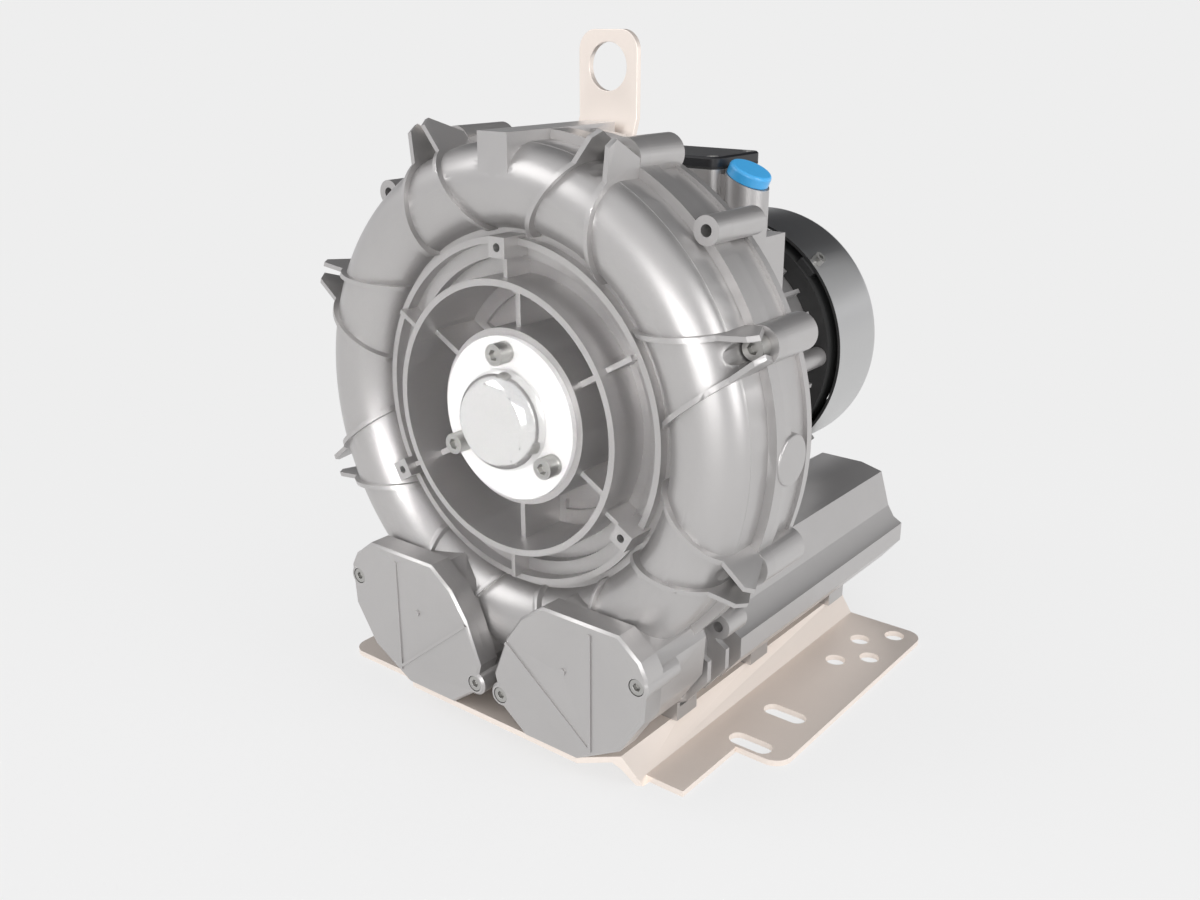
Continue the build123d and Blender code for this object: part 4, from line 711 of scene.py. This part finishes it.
def make_lamp(name, place, aim, width, height, spread, power):
    """Rectangular soft lamp that faces a point; its spread is in degrees."""
    lamp_data = bpy.data.lights.new(name, "AREA")
    lamp_data.shape = "RECTANGLE"
    lamp_data.size = width
    lamp_data.size_y = height
    lamp_data.spread = math.radians(spread)
    lamp_data.energy = power
    lamp = bpy.data.objects.new(name, lamp_data)
    lamp.location = place
    lamp.rotation_euler = (aim - place).to_track_quat("-Z", "Y").to_euler()
    bpy.context.scene.collection.objects.link(lamp)


def make_world():
    """Pale studio; in reflections a dark screen stands behind the blower, above the floor."""
    world = bpy.data.worlds.new("studio")
    world.use_nodes = True
    tree = world.node_tree
    background = tree.nodes["Background"]
    path = tree.nodes.new("ShaderNodeLightPath")
    place = tree.nodes.new("ShaderNodeTexCoord")
    split = tree.nodes.new("ShaderNodeSeparateXYZ")
    tree.links.new(place.outputs["Generated"], split.inputs["Vector"])
    edges = [add_ramp(tree, split.outputs[axis], start=start, end=end, kind="SMOOTHSTEP")
             for axis, start, end in SCREEN_EDGES]
    screen = add_math(tree, "MULTIPLY", *edges)
    mirrored = add_mix(tree, screen, low=STUDIO_GREY, high=SCREEN_GREY)
    lit = add_mix(tree, path.outputs["Is Glossy Ray"], low=STUDIO_GREY, high=mirrored)
    backdrop = shade(finishes().floor, 1.0)
    seen = add_mix(tree, path.outputs["Is Camera Ray"], low=lit, high=backdrop)
    tree.links.new(seen, background.inputs["Color"])
    background.inputs["Strength"].default_value = 1.0
    bpy.context.scene.world = world


def make_floor():
    """Round pale floor that shows the backdrop's colour away from the shadow."""
    shape = bmesh.new()
    bmesh.ops.create_circle(shape, cap_ends=True, radius=FLOOR_RADIUS, segments=FLOOR_SIDES)
    mesh = bpy.data.meshes.new("floor")
    shape.to_mesh(mesh)
    shape.free()
    floor = bpy.data.objects.new("floor", mesh)
    bpy.context.scene.collection.objects.link(floor)
    material, tree, shader, place = start_material("pale_floor", 0.0, 0.9)
    colour = shade(finishes().floor, 1.0)
    shader.inputs["Base Color"].default_value = colour
    shader.inputs["Specular IOR Level"].default_value = 0.0
    glow = tree.nodes.new("ShaderNodeEmission")
    glow.inputs["Color"].default_value = colour
    path = tree.nodes.new("ShaderNodeLightPath")
    seen = add_math(tree, "MAXIMUM", path.outputs["Is Camera Ray"],
                    path.outputs["Is Glossy Ray"])
    reach = tree.nodes.new("ShaderNodeVectorMath")
    reach.operation = "LENGTH"
    tree.links.new(place, reach.inputs["Vector"])
    fade = add_ramp(tree, reach.outputs["Value"], start=GLOW_START, end=GLOW_END,
                    low=GLOW_NEAR_SHARE)
    blend = tree.nodes.new("ShaderNodeMixShader")
    tree.links.new(add_math(tree, "MULTIPLY", seen, fade), blend.inputs["Fac"])
    tree.links.new(shader.outputs["BSDF"], blend.inputs[1])
    tree.links.new(glow.outputs["Emission"], blend.inputs[2])
    tree.links.new(blend.outputs["Shader"], tree.nodes["Material Output"].inputs["Surface"])
    mesh.materials.append(material)


class BLOWER_PT_panel(bpy.types.Panel):
    """Buttons that build the blower piece by piece, and its settings"""

    bl_label = "Blower"
    bl_space_type = "VIEW_3D"
    bl_region_type = "UI"
    bl_category = "Blower"

    def draw(self, context):
        for operator in OPERATORS:
            self.layout.operator(operator.bl_idname)
        for settings in (context.scene.blower_finishes, context.scene.blower_sizes):
            for name in settings.bl_rna.properties.keys():
                if name not in ("rna_type", "name"):
                    self.layout.prop(settings, name)


OPERATORS = (
    BLOWER_OT_stage, BLOWER_OT_castings, BLOWER_OT_cast_marks, BLOWER_OT_hub, BLOWER_OT_motor,
    BLOWER_OT_terminal_box, BLOWER_OT_sheet, BLOWER_OT_screws, BLOWER_OT_inner_pieces,
)
CLASSES = (BlowerFinishes, BlowerSizes, *OPERATORS, BLOWER_PT_panel)


def register():
    for item in CLASSES:
        bpy.utils.register_class(item)
    bpy.types.Scene.blower_finishes = bpy.props.PointerProperty(type=BlowerFinishes)
    bpy.types.Scene.blower_sizes = bpy.props.PointerProperty(type=BlowerSizes)


def unregister():
    del bpy.types.Scene.blower_finishes
    del bpy.types.Scene.blower_sizes
    for item in reversed(CLASSES):
        bpy.utils.unregister_class(item)


def main():
    register()
    bpy.ops.blower.stage()
    bpy.ops.blower.castings()
    bpy.ops.blower.cast_marks()
    bpy.ops.blower.hub()
    bpy.ops.blower.motor()
    bpy.ops.blower.terminal_box()
    bpy.ops.blower.sheet()
    bpy.ops.blower.screws()
    bpy.ops.blower.inner_pieces()


if __name__ == "__main__":
    main()
